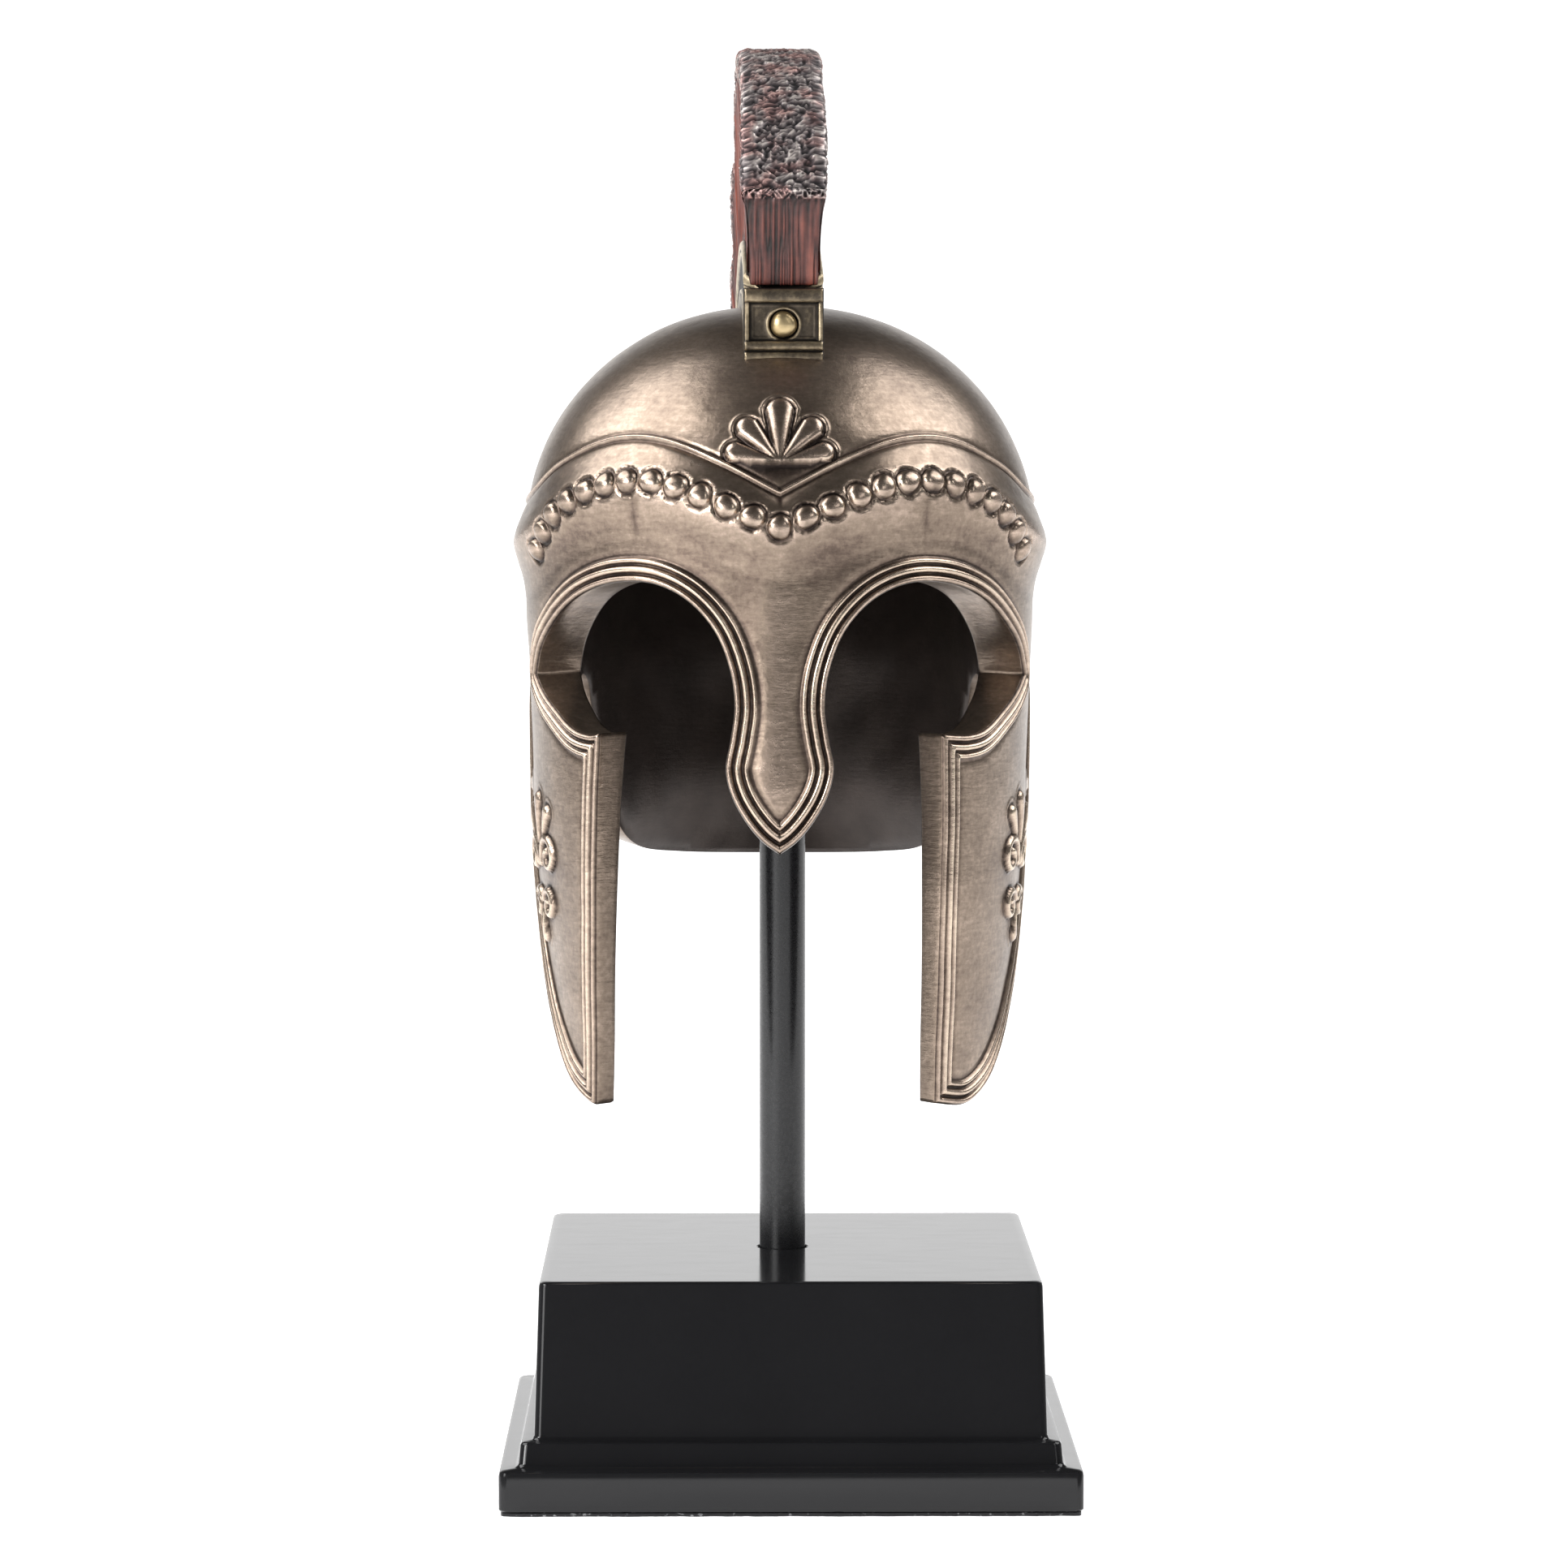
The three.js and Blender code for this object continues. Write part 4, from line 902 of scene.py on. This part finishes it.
# The hair: its root line over the crown and down the nape, and its outer rim, as y and z.
HAIR_ROOTS = [(0, 229.2, 13.0), (0, 242.0, 13.0), (1, 248.0, 13.0), (1, 228.0, 13.0), (1, 206.0, 13.0),
              (1, 186.0, 13.0), (1, 168.0, 13.0), (1, 158.0, 7.0), (1, 148.0, 3.4), (1, 134.0, 3.2)]
HAIR_RIM = [(-34.5, 249.0), (-24, 262.0), (-8, 273.2), (10, 277.6), (34, 274.6), (57, 263.0), (78, 244.0),
            (94, 218.0), (101, 190.0), (101, 164.0), (95, 143.0), (86, 127.0)]
# Share of the way from root to rim, half width.
HAIR_WIDTHS = np.array([(0, 6.75), (0.35, 6.9), (0.7, 7.35), (0.9, 7.9), (0.965, 7.85), (0.99, 7.2), (1.0, 6.0)])


def strands(place, share, seed):
    """Fine ridges along the hair: a one-way noise across the strands, drifting slowly along them."""
    drift = np.stack([place, share * 5.0, np.zeros_like(place)], axis=1)
    fine = lattice_noise(drift * (1 / 0.5, 0.35, 1), seed)
    broad = lattice_noise(drift * (1 / 1.5, 0.3, 1), seed + 1)
    return 0.55 * np.abs(2 * fine - 1) + 0.45 * broad


def curls(points, seed):
    """Worm-like curls: ridges where two bent noises cross their middle value."""
    bent = points + 1.1 * np.stack([lattice_noise(points / 1.3, seed + k) for k in range(3)], axis=1)
    first = 1 - np.abs(2 * lattice_noise(bent / 0.85, seed + 5) - 1) * 2.6
    second = 1 - np.abs(2 * lattice_noise(bent / (1.2, 0.8, 0.8) + 9.5, seed + 6) - 1) * 2.8
    return np.clip(np.maximum(first, second), 0, 1)


def hair_lines():
    """Root and rim of the hair as evenly spaced stations."""
    roots = np.array([skin(behind * math.pi, level, height)[1:] for behind, level, height in HAIR_ROOTS])
    count = 640
    root = smooth_run(roots, 0.2)
    rim = smooth_run(HAIR_RIM, 0.2)
    pick = lambda line: line[np.round(np.linspace(0, len(line) - 1, count)).astype(int)]
    return pick(root), pick(rim), np.linspace(0, 235.0, count)


def hair_body(material):
    """Sides and rim of the hair: a section of widths by share carried along root and rim, with strands
    and, towards the rim, curls."""
    root, rim, along = hair_lines()
    count = len(root)
    side_shares = np.concatenate([np.linspace(0, 0.8, 15), np.linspace(0.83, 1.0, 14)])
    half = through_rows(HAIR_WIDTHS[:, 0], HAIR_WIDTHS[:, 1], side_shares)
    top_x = np.linspace(1, -1, 25)[1:-1] * HAIR_WIDTHS[-1, 1]
    shares = np.concatenate([side_shares, 1.0 + 0.0 * top_x, side_shares[::-1]])
    widths = np.concatenate([half, top_x, -half[::-1]])
    n = len(shares)
    place = root[:, None, :] + shares[None, :, None] * (rim - root)[:, None, :]
    points = np.concatenate([np.broadcast_to(widths[None, :, None], (count, n, 1)), place], axis=2)
    flow = (rim - root) / np.linalg.norm(rim - root, axis=1, keepdims=True)
    on_top = np.abs(widths) < 6.01
    outward = np.zeros_like(points)
    outward[:, ~on_top, 0] = np.sign(widths[~on_top])
    outward[:, on_top, 1:] = flow[:, None, :]
    corner = (shares > 0.96) & ~on_top
    outward[:, corner, 1:] += flow[:, None, :]
    outward /= np.linalg.norm(outward, axis=2, keepdims=True)
    flat_share = np.broadcast_to(shares, (count, n)).ravel()
    strand = strands(np.broadcast_to(along[:, None], (count, n)).ravel(), flat_share, 21)
    rimward = smoothstep(0.80, 0.93, flat_share)
    curl = curls(points.reshape(-1, 3), 31)
    lump = lattice_noise(points.reshape(-1, 3) / (9, 5, 5), 41) - 0.5
    relief = (1 - rimward) * 0.75 * (strand - 0.5) + rimward * (0.75 * (curl - 0.6) + 0.9 * lump)
    relief *= smoothstep(0.0, 0.05, flat_share)
    points = points.reshape(-1, 3) + outward.reshape(-1, 3) * relief[:, None]
    points = points.reshape(count, n, 3)
    points[0, :, 1] = np.maximum(points[0, :, 1], place[0, :, 0] - 0.2)
    tail = points[-1].mean(axis=0)
    flat_points = np.vstack([points.reshape(-1, 3), tail])
    faces = [quads(count, n, loop_columns=True)[:, ::-1], fan((count - 1) * n + np.arange(n)[::-1], count * n)]
    wear = np.clip(np.where(rimward > 0.5, 0.15 + 0.85 * curl, strand), 0, 1)
    wear = np.concatenate([wear, [0.3]])
    rim_share = np.concatenate([rimward, [0]])
    return flat_points, faces, wear, rim_share, points[0]


def crest_hair(material):
    """The hair's body, and its front face: strands from root to rim that splay at the top."""
    points, faces, wear, rim_share, first = hair_body(material)
    piece = surface("hair_body", set_on_helmet(points), faces, material, {"wear": wear, "rim": rim_share})
    dress(piece, "crest_plume")
    root, rim, _ = hair_lines()
    nx, ns = 110, 70
    share, across = np.meshgrid(np.linspace(-0.14, 1.0, ns), np.linspace(-1, 1, nx), indexing="ij")
    half = through_rows(HAIR_WIDTHS[:, 0], HAIR_WIDTHS[:, 1], np.clip(share, 0, 1).ravel()).reshape(share.shape)
    x = across * half
    place = root[0] + share[..., None] * (rim[0] - root[0])
    strand = strands(x.ravel() + 40, share.ravel(), 51).reshape(x.shape)
    spots = np.stack([x, place[..., 0], place[..., 1]], -1).reshape(-1, 3)
    curl = curls(spots, 31).reshape(x.shape)
    rimward = smoothstep(0.78, 0.97, share)
    relief = (1 - rimward) * 1.0 * (strand - 0.3) + rimward * 1.1 * curl
    relief += 0.5 * np.sqrt(np.clip(1 - across ** 2, 0, 1)) - 0.9 * np.clip((np.abs(across) - 0.93) / 0.07, 0, 1) ** 2
    front = np.stack([x, place[..., 0] - relief, place[..., 1]], -1).reshape(-1, 3)
    back = np.stack([x * 0.97, place[..., 0] + 1.6 + 0 * relief, place[..., 1] - 0.4], -1).reshape(-1, 3)
    total = nx * ns
    ids = np.arange(total).reshape(ns, nx)
    ring = np.concatenate([ids[0, :-1], ids[:-1, -1], ids[-1, :0:-1], ids[:0:-1, 0]])
    after = np.roll(ring, -1)
    faces = [quads(ns, nx), quads(ns, nx)[:, ::-1] + total,
             np.stack([ring, ring + total, after + total, after], axis=1)]
    wear = np.where(rimward > 0.5, 0.15 + 0.85 * curl, strand).ravel()
    piece = surface("hair_front_face", set_on_helmet(np.vstack([front, back])), faces, material,
                    {"wear": np.tile(wear, 2), "rim": np.tile(rimward.ravel(), 2)})
    dress(piece, "crest_plume")


# ------------------------------------------------------------------ rod, plinth and pad
def stand_rod(material):
    """A straight rod, its ends chamfered."""
    r = ROD_RADIUS
    levels = np.linspace(ROD_BOTTOM + 0.4, ROD_TOP - 0.4, 60)
    profile = [(0, ROD_BOTTOM), (r - 0.4, ROD_BOTTOM)] + [(r, z) for z in levels] + [(r - 0.4, ROD_TOP), (0, ROD_TOP)]
    points, faces = turned(profile)
    piece = surface("rod_bar", points, faces, material)
    dress(piece, "stand_rod")


def on_plinth_place(points):
    """The plinth's slight shift and turn under the rod."""
    c, s = math.cos(PLINTH_TURN), math.sin(PLINTH_TURN)
    x, y, z = points.T
    return np.stack([c * x - s * y + PLINTH_SHIFT, s * x + c * y, z], axis=1)


def rounded_square(half, corner, per_side=24, per_corner=8):
    """A square with arcs for corners, anticlockwise from the middle of its +X side."""
    turn = np.linspace(0, math.pi / 2, per_corner)
    straight = np.linspace(-1, 1, per_side)[1:-1] * (half - corner)
    quarter = np.vstack([
        np.stack([np.full(len(straight), half), straight], axis=1),
        np.stack([half - corner + corner * np.cos(turn), half - corner + corner * np.sin(turn)], axis=1),
    ])
    turns = [np.array([[math.cos(a), math.sin(a)], [-math.sin(a), math.cos(a)]]) for a in
             (0, math.pi / 2, math.pi, 3 * math.pi / 2)]
    return np.vstack([quarter @ t for t in turns])


def plinth_block(material):
    """The profile carried round a rounded square; the top runs in to the round hole for the rod."""
    rings = [np.column_stack([rounded_square(half, PLINTH_CORNER), np.full(120, z)]) for half, z in PLINTH_PROFILE]
    edge = rings[-1][:, :2]
    direction = edge / np.linalg.norm(edge, axis=1, keepdims=True)
    hole = np.array([-PLINTH_SHIFT, 0])
    mouth = hole + direction * (HOLE_RADIUS + 0.25)
    for share in (0.03, 0.1, 0.25, 0.45, 0.65, 0.82, 0.94, 1.0):
        flat = edge + (mouth - edge) * share
        rings.append(np.column_stack([flat, np.full(len(flat), PLINTH_TOP)]))
    for radius, z in ((HOLE_RADIUS, PLINTH_TOP - 0.25), (HOLE_RADIUS, 37.5)):
        rings.append(np.column_stack([hole + direction * radius, np.full(len(flat), z)]))
    n = len(direction)
    points = np.vstack(rings + [[(0, 0, PLINTH_PROFILE[0, 1])], [(*hole, 37.5)]])
    rows = len(rings)
    faces = [quads(rows, n, loop_columns=True), fan(np.arange(n)[::-1], rows * n),
             fan((rows - 1) * n + np.arange(n), rows * n + 1)]
    points = on_plinth_place(points)
    piece = surface("plinth_block", points, faces, material)
    mark_hard_edges(piece, 40)
    dress(piece, "plinth")


def mark_hard_edges(piece, degrees):
    """Edges sharper than the angle are shaded hard."""
    piece.data.set_sharp_from_angle(angle=math.radians(degrees))


def felt_pad(material):
    """A thin pad whose cut edge wanders a little."""
    outline = rounded_square(54.6, 1.6, per_side=120)
    spots = np.column_stack([outline / 3.0, np.zeros(len(outline))])
    fray = 0.5 * (lattice_noise(spots, 61) - 0.5) + 0.35 * (lattice_noise(spots * 3.2, 62) - 0.5)
    outline = outline * (1 + fray / 54.6)[:, None]
    n = len(outline)
    points = np.vstack([np.column_stack([outline, np.full(n, z)]) for z in (0.0, 0.6)] + [[(0, 0, 0)], [(0, 0, 0.6)]])
    faces = [quads(2, n, loop_columns=True), fan(np.arange(n)[::-1], 2 * n), fan(n + np.arange(n), 2 * n + 1)]
    piece = surface("plinth_pad_felt", on_plinth_place(points), faces, material)
    dress(piece, "plinth_felt_pad")


# ------------------------------------------------------------------ materials
class Finish:
    """A material whose nodes are added one at a time and wired by name."""

    def __init__(self, name):
        self.material = bpy.data.materials.new(name)
        self.material.use_nodes = True
        self.tree = self.material.node_tree
        self.shader = self.tree.nodes["Principled BSDF"]
        self.place = self.add("ShaderNodeTexCoord").outputs["Object"]

    def add(self, kind, **settings):
        node = self.tree.nodes.new(kind)
        for key, value in settings.items():
            setattr(node, key, value)
        return node

    def wire(self, source, target):
        self.tree.links.new(source, target)

    def noise(self, scale, detail=3.0, roughness=0.55, stretch=(1, 1, 1), distortion=0.0):
        mapping = self.add("ShaderNodeMapping")
        mapping.inputs["Scale"].default_value = stretch
        self.wire(self.place, mapping.inputs["Vector"])
        node = self.add("ShaderNodeTexNoise")
        self.wire(mapping.outputs["Vector"], node.inputs["Vector"])
        node.inputs["Scale"].default_value = scale
        node.inputs["Detail"].default_value = detail
        node.inputs["Roughness"].default_value = roughness
        node.inputs["Distortion"].default_value = distortion
        return node.outputs["Fac"]

    def attribute(self, name):
        return self.add("ShaderNodeAttribute", attribute_name=name).outputs["Fac"]

    def math(self, operation, *values, clamp=False):
        node = self.add("ShaderNodeMath", operation=operation, use_clamp=clamp)
        for socket, value in zip(node.inputs, values):
            if isinstance(value, (int, float)):
                socket.default_value = value
            else:
                self.wire(value, socket)
        return node.outputs[0]

    def ramp(self, value, stops):
        node = self.add("ShaderNodeValToRGB")
        while len(node.color_ramp.elements) < len(stops):
            node.color_ramp.elements.new(0.5)
        for element, (position, color) in zip(node.color_ramp.elements, stops):
            element.position = position
            element.color = (*color, 1) if len(color) == 3 else color
        self.wire(value, node.inputs["Fac"])
        return node.outputs["Color"]

    def spread(self, value, low, high, to_low, to_high):
        node = self.add("ShaderNodeMapRange")
        self.wire(value, node.inputs["Value"])
        for key, number in (("From Min", low), ("From Max", high), ("To Min", to_low), ("To Max", to_high)):
            node.inputs[key].default_value = number
        return node.outputs["Result"]

    def mix(self, share, first, second, blend="MIX"):
        node = self.add("ShaderNodeMix", data_type="RGBA", blend_type=blend)
        for socket, value in ((node.inputs[0], share), (node.inputs[6], first), (node.inputs[7], second)):
            if isinstance(value, tuple):
                socket.default_value = (*value, 1)
            elif isinstance(value, (int, float)):
                socket.default_value = value
            else:
                self.wire(value, socket)
        return node.outputs[2]

    def bumps(self, *layers):
        """Stacks bump nodes: each layer is a height, a strength and a distance in metres."""
        normal = None
        for height, strength, distance in layers:
            node = self.add("ShaderNodeBump")
            node.inputs["Strength"].default_value = strength
            node.inputs["Distance"].default_value = distance
            self.wire(height, node.inputs["Height"])
            if normal is not None:
                self.wire(normal, node.inputs["Normal"])
            normal = node.outputs["Normal"]
        self.wire(normal, self.shader.inputs["Normal"])


PATINA = (0.030, 0.022, 0.019)
BRONZE = (0.225, 0.174, 0.134)
CHAMPAGNE = (0.62, 0.515, 0.395)


def bronze_finish():
    """Antique bronze: patina in the hollows, champagne on what stands up, both broken by noise; the inside is painted
    near black as painted shade.
    """
    f = Finish("bronze_antique")
    wear = f.attribute("wear")
    patches = f.noise(60, detail=5, roughness=0.6)
    grain = f.noise(900, detail=4, roughness=0.65)
    brushed = f.noise(260, detail=4, roughness=0.6, stretch=(1, 1, 5))
    value = f.math("ADD", wear, f.math("MULTIPLY", f.math("SUBTRACT", patches, 0.5), 0.45))
    value = f.math("ADD", value, f.math("MULTIPLY", f.math("SUBTRACT", grain, 0.5), 0.35))
    value = f.math("ADD", value, f.math("MULTIPLY", f.math("SUBTRACT", brushed, 0.5), 0.25), clamp=True)
    color = f.ramp(value, [(0.10, PATINA), (0.34, (0.12, 0.088, 0.070)), (0.52, BRONZE), (0.72, (0.40, 0.31, 0.25)),
                           (0.95, CHAMPAGNE)])
    # painted shade: the helmet's inside, and the cut face towards it, take this near-black colour
    dark = f.mix(f.noise(120, detail=4), (0.020, 0.015, 0.013), (0.060, 0.045, 0.038))
    inside = f.attribute("inside")
    color = f.mix(inside, color, dark)
    f.wire(color, f.shader.inputs["Base Color"])
    metal = f.spread(inside, 0, 1, 0.92, 0.55)
    f.wire(metal, f.shader.inputs["Metallic"])
    rough = f.spread(value, 0.2, 0.9, 0.34, 0.24)
    f.wire(f.math("ADD", rough, f.math("MULTIPLY", inside, 0.08)), f.shader.inputs["Roughness"])
    filed = f.noise(420, detail=3, stretch=(1, 0.2, 4))
    cut = f.attribute("cut")
    filed = f.math("MULTIPLY", filed, cut)
    f.bumps((grain, 0.30, 0.00012), (brushed, 0.22, 0.0002), (patches, 0.15, 0.0006), (filed, 0.4, 0.0002))
    return f.material


def brass_finish():
    """Aged brass: dark in the recesses, dull gold on the edges."""
    f = Finish("brass_aged")
    wear = f.attribute("wear")
    patches = f.noise(220, detail=5, roughness=0.65)
    grain = f.noise(1100, detail=3)
    value = f.math("ADD", wear, f.math("MULTIPLY", f.math("SUBTRACT", patches, 0.5), 0.7))
    value = f.math("ADD", value, f.math("MULTIPLY", f.math("SUBTRACT", grain, 0.5), 0.3), clamp=True)
    color = f.ramp(value, [(0.25, (0.018, 0.015, 0.012)), (0.5, (0.070, 0.056, 0.041)), (0.7, (0.22, 0.175, 0.115)),
                           (0.95, (0.55, 0.45, 0.30))])
    f.wire(color, f.shader.inputs["Base Color"])
    f.shader.inputs["Metallic"].default_value = 0.85
    f.wire(f.spread(value, 0.2, 0.9, 0.55, 0.34), f.shader.inputs["Roughness"])
    f.bumps((patches, 0.4, 0.0003), (grain, 0.25, 0.0001))
    return f.material


def stud_finish():
    """Rubbed gold paint, dark round the foot of the stud."""
    f = Finish("gold_rubbed")
    patches = f.noise(500, detail=4)
    value = f.math("ADD", f.attribute("wear"), f.math("MULTIPLY", f.math("SUBTRACT", patches, 0.5), 0.4), clamp=True)
    color = f.ramp(value, [(0.2, (0.05, 0.037, 0.02)), (0.5, (0.26, 0.19, 0.095)), (0.85, (0.62, 0.49, 0.28))])
    f.wire(color, f.shader.inputs["Base Color"])
    f.shader.inputs["Metallic"].default_value = 0.9
    f.wire(f.spread(value, 0.2, 0.9, 0.5, 0.28), f.shader.inputs["Roughness"])
    f.bumps((patches, 0.3, 0.00015))
    return f.material


def hair_finish():
    """Dark red-brown strands; towards the rim grey-brown curls with pale and reddish tips."""
    f = Finish("horsehair_crest")
    wear = f.attribute("wear")
    patches = f.noise(380, detail=4, roughness=0.6)
    value = f.math("ADD", wear, f.math("MULTIPLY", f.math("SUBTRACT", patches, 0.5), 0.5), clamp=True)
    strand = f.ramp(value, [(0.15, (0.010, 0.006, 0.005)), (0.5, (0.075, 0.018, 0.013)), (0.9, (0.200, 0.052, 0.032))])
    grey = f.ramp(value, [(0.25, (0.012, 0.010, 0.011)), (0.52, (0.065, 0.053, 0.055)), (0.78, (0.22, 0.190, 0.185)),
                          (0.95, (0.60, 0.54, 0.50))])
    reds = f.ramp(f.noise(210, detail=2), [(0.45, (1, 1, 1)), (0.62, (1.0, 0.60, 0.57))])
    grey = f.mix(0.75, grey, reds, "MULTIPLY")
    rim = f.attribute("rim")
    f.wire(f.mix(rim, strand, grey), f.shader.inputs["Base Color"])
    f.wire(f.math("MULTIPLY", rim, 0.55), f.shader.inputs["Metallic"])
    f.wire(f.spread(value, 0.1, 0.9, 0.62, 0.36), f.shader.inputs["Roughness"])
    fine = f.noise(1600, detail=3)
    f.bumps((fine, 0.35, 0.00012), (patches, 0.3, 0.0003))
    return f.material


def rod_finish():
    """Semi-gloss black paint with a faint drawn grain."""
    f = Finish("rod_black_paint")
    streak = f.noise(300, detail=3, stretch=(4, 4, 0.12))
    specks = f.noise(1500, detail=2)
    f.wire(f.mix(streak, (0.006, 0.006, 0.007), (0.011, 0.011, 0.012)), f.shader.inputs["Base Color"])
    f.wire(f.spread(specks, 0.3, 0.7, 0.24, 0.32), f.shader.inputs["Roughness"])
    f.bumps((specks, 0.08, 0.00005), (streak, 0.03, 0.00005))
    return f.material


def lacquer_finish():
    """Satin black lacquer with orange peel, light scuffs and dried glue round the rod."""
    f = Finish("plinth_black_lacquer")
    clouds = f.noise(28, detail=4)
    peel = f.noise(520, detail=2)
    scuff = f.noise(210, detail=5, roughness=0.7, stretch=(0.35, 1, 1))
    f.wire(f.mix(clouds, (0.0075, 0.0075, 0.0082), (0.0115, 0.0115, 0.0125)), f.shader.inputs["Base Color"])
    f.shader.inputs["IOR"].default_value = 1.38
    f.wire(f.spread(scuff, 0.35, 0.75, 0.11, 0.16), f.shader.inputs["Roughness"])
    f.bumps((peel, 0.04, 0.00004), (clouds, 0.02, 0.0004))
    return f.material


def felt_finish():
    """Short-fibred black felt with pale flecks."""
    f = Finish("pad_black_felt")
    fibre = f.noise(2600, detail=4, roughness=0.7)
    flecks = f.noise(900, detail=2)
    color = f.ramp(flecks, [(0.62, (0.014, 0.014, 0.016)), (0.74, (0.32, 0.32, 0.33))])
    f.wire(color, f.shader.inputs["Base Color"])
    f.shader.inputs["Roughness"].default_value = 0.95
    f.shader.inputs["Sheen Weight"].default_value = 0.4
    f.bumps((fibre, 0.6, 0.0003))
    return f.material


def floor_finish():
    """White paper that glows a little more the further it lies from the object."""
    f = Finish("floor_white")
    f.shader.inputs["Base Color"].default_value = (0.93, 0.93, 0.94, 1)
    f.shader.inputs["Roughness"].default_value = 1.0
    f.shader.inputs["Emission Color"].default_value = (1, 1, 1, 1)
    away = f.add("ShaderNodeVectorMath", operation="LENGTH")
    f.wire(f.place, away.inputs[0])
    f.wire(f.spread(away.outputs["Value"], 0.3, 1.6, 0.62, 1.25), f.shader.inputs["Emission Strength"])
    return f.material


# ------------------------------------------------------------------ studio
def studio_floor():
    """A wide white floor, level with the underside of the pad."""
    half = 6000.0
    points = [(-half, -half, 0), (half, -half, 0), (half, half, 0), (-half, half, 0)]
    floor = surface("studio_floor", np.array(points), [np.array([[0, 1, 2, 3]])], floor_finish())


def softbox(name, place, target, size, power, color=(1, 1, 1)):
    """A rectangular area light aimed at a target; sizes in metres."""
    light = bpy.data.lights.new(name, "AREA")
    light.shape = "RECTANGLE"
    light.size, light.size_y = size
    light.energy = power
    light.color = color
    lamp = bpy.data.objects.new(name, light)
    lamp.location = place
    lamp.rotation_euler = (Vector(target) - Vector(place)).to_track_quat("-Z", "Y").to_euler()
    bpy.context.scene.collection.objects.link(lamp)


def studio_world():
    """A white wall behind the object and pale walls low round the room, under a dark ceiling."""
    world = bpy.data.worlds.new("studio")
    world.use_nodes = True
    bpy.context.scene.world = world
    tree = world.node_tree
    background = tree.nodes["Background"]
    split = tree.nodes.new("ShaderNodeSeparateXYZ")
    tree.links.new(tree.nodes.new("ShaderNodeTexCoord").outputs["Generated"], split.inputs[0])

    def spread(socket, low, high, to_low, to_high):
        span = tree.nodes.new("ShaderNodeMapRange")
        span.interpolation_type = "SMOOTHSTEP"
        for key, number in (("From Min", low), ("From Max", high), ("To Min", to_low), ("To Max", to_high)):
            span.inputs[key].default_value = number
        tree.links.new(socket, span.inputs["Value"])
        return span.outputs["Result"]

    def combined(operation, first, second):
        node = tree.nodes.new("ShaderNodeMath")
        node.operation = operation
        tree.links.new(first, node.inputs[0])
        tree.links.new(second, node.inputs[1])
        return node.outputs[0]

    wall = combined("MAXIMUM", spread(split.outputs["Y"], 0.80, 0.95, 0.0, 1.35),
                    spread(split.outputs["Y"], -0.6, 0.5, 0.12, 0.36))
    low = spread(split.outputs["Z"], 0.18, 0.58, 1.0, 0.07)
    tree.links.new(combined("MULTIPLY", wall, low), background.inputs["Color"])


# Softboxes: degrees round from the front, degrees up, distance in metres, width, height, radiance.
SOFTBOXES = {
    "side_left": (-98, 47, 1.1, 1.0, 0.8, 5.2),
    "side_right": (100, 47, 1.1, 0.95, 0.75, 4.6),
    "front_left": (-38, 12, 1.25, 0.5, 0.55, 5.5),
    "front_right": (30, 26, 1.25, 0.22, 0.4, 3.6),
}
LIGHTS_AIM = (0, 0, 0.19)


def studio_lights():
    """Softboxes placed on a sphere round the helmet, and a lamp that brightens the floor on the left."""
    for name, (turn, rise, distance, width, height, radiance) in SOFTBOXES.items():
        turn, rise = math.radians(turn), math.radians(rise)
        way = Vector((math.sin(turn) * math.cos(rise), -math.cos(turn) * math.cos(rise), math.sin(rise)))
        place = Vector(LIGHTS_AIM) + way * distance
        softbox(name, place, LIGHTS_AIM, (width, height), math.pi * width * height * radiance)
    softbox("floor_left", (-0.7, -0.55, 0.5), (-0.32, -0.22, 0), (0.3, 0.3), 5.0)


def camera():
    """The view: level with the brow, tilted down 3.8 degrees."""
    data = bpy.data.cameras.new("camera")
    data.sensor_width = 36
    data.lens = 36 * 7240 / 1932
    data.shift_x = 2 / 1932
    data.clip_start = 0.05
    data.clip_end = 50
    view = bpy.data.objects.new("camera", data)
    view.location = (0, -1.1465, 0.2104)
    view.rotation_euler = (math.pi / 2 - math.atan2(481, 7240), 0, 0)
    bpy.context.scene.collection.objects.link(view)
    bpy.context.scene.camera = view


# ------------------------------------------------------------------ putting it together
BORDER_RUN = skin_run(BAND_BORDER, 0.5)
RIDGE_RUN = skin_run(BAND_RIDGE, 0.5)

camera()
studio_floor()
studio_world()
studio_lights()
bpy.context.scene.view_settings.view_transform = "Standard"

bronze = bronze_finish()
brass = brass_finish()
helmet_shell(bronze)
crown_boss(bronze)
holder_body(brass)
holder_front(brass)
holder_stud(stud_finish())
crest_hair(hair_finish())
stand_rod(rod_finish())
plinth_block(lacquer_finish())
felt_pad(felt_finish())
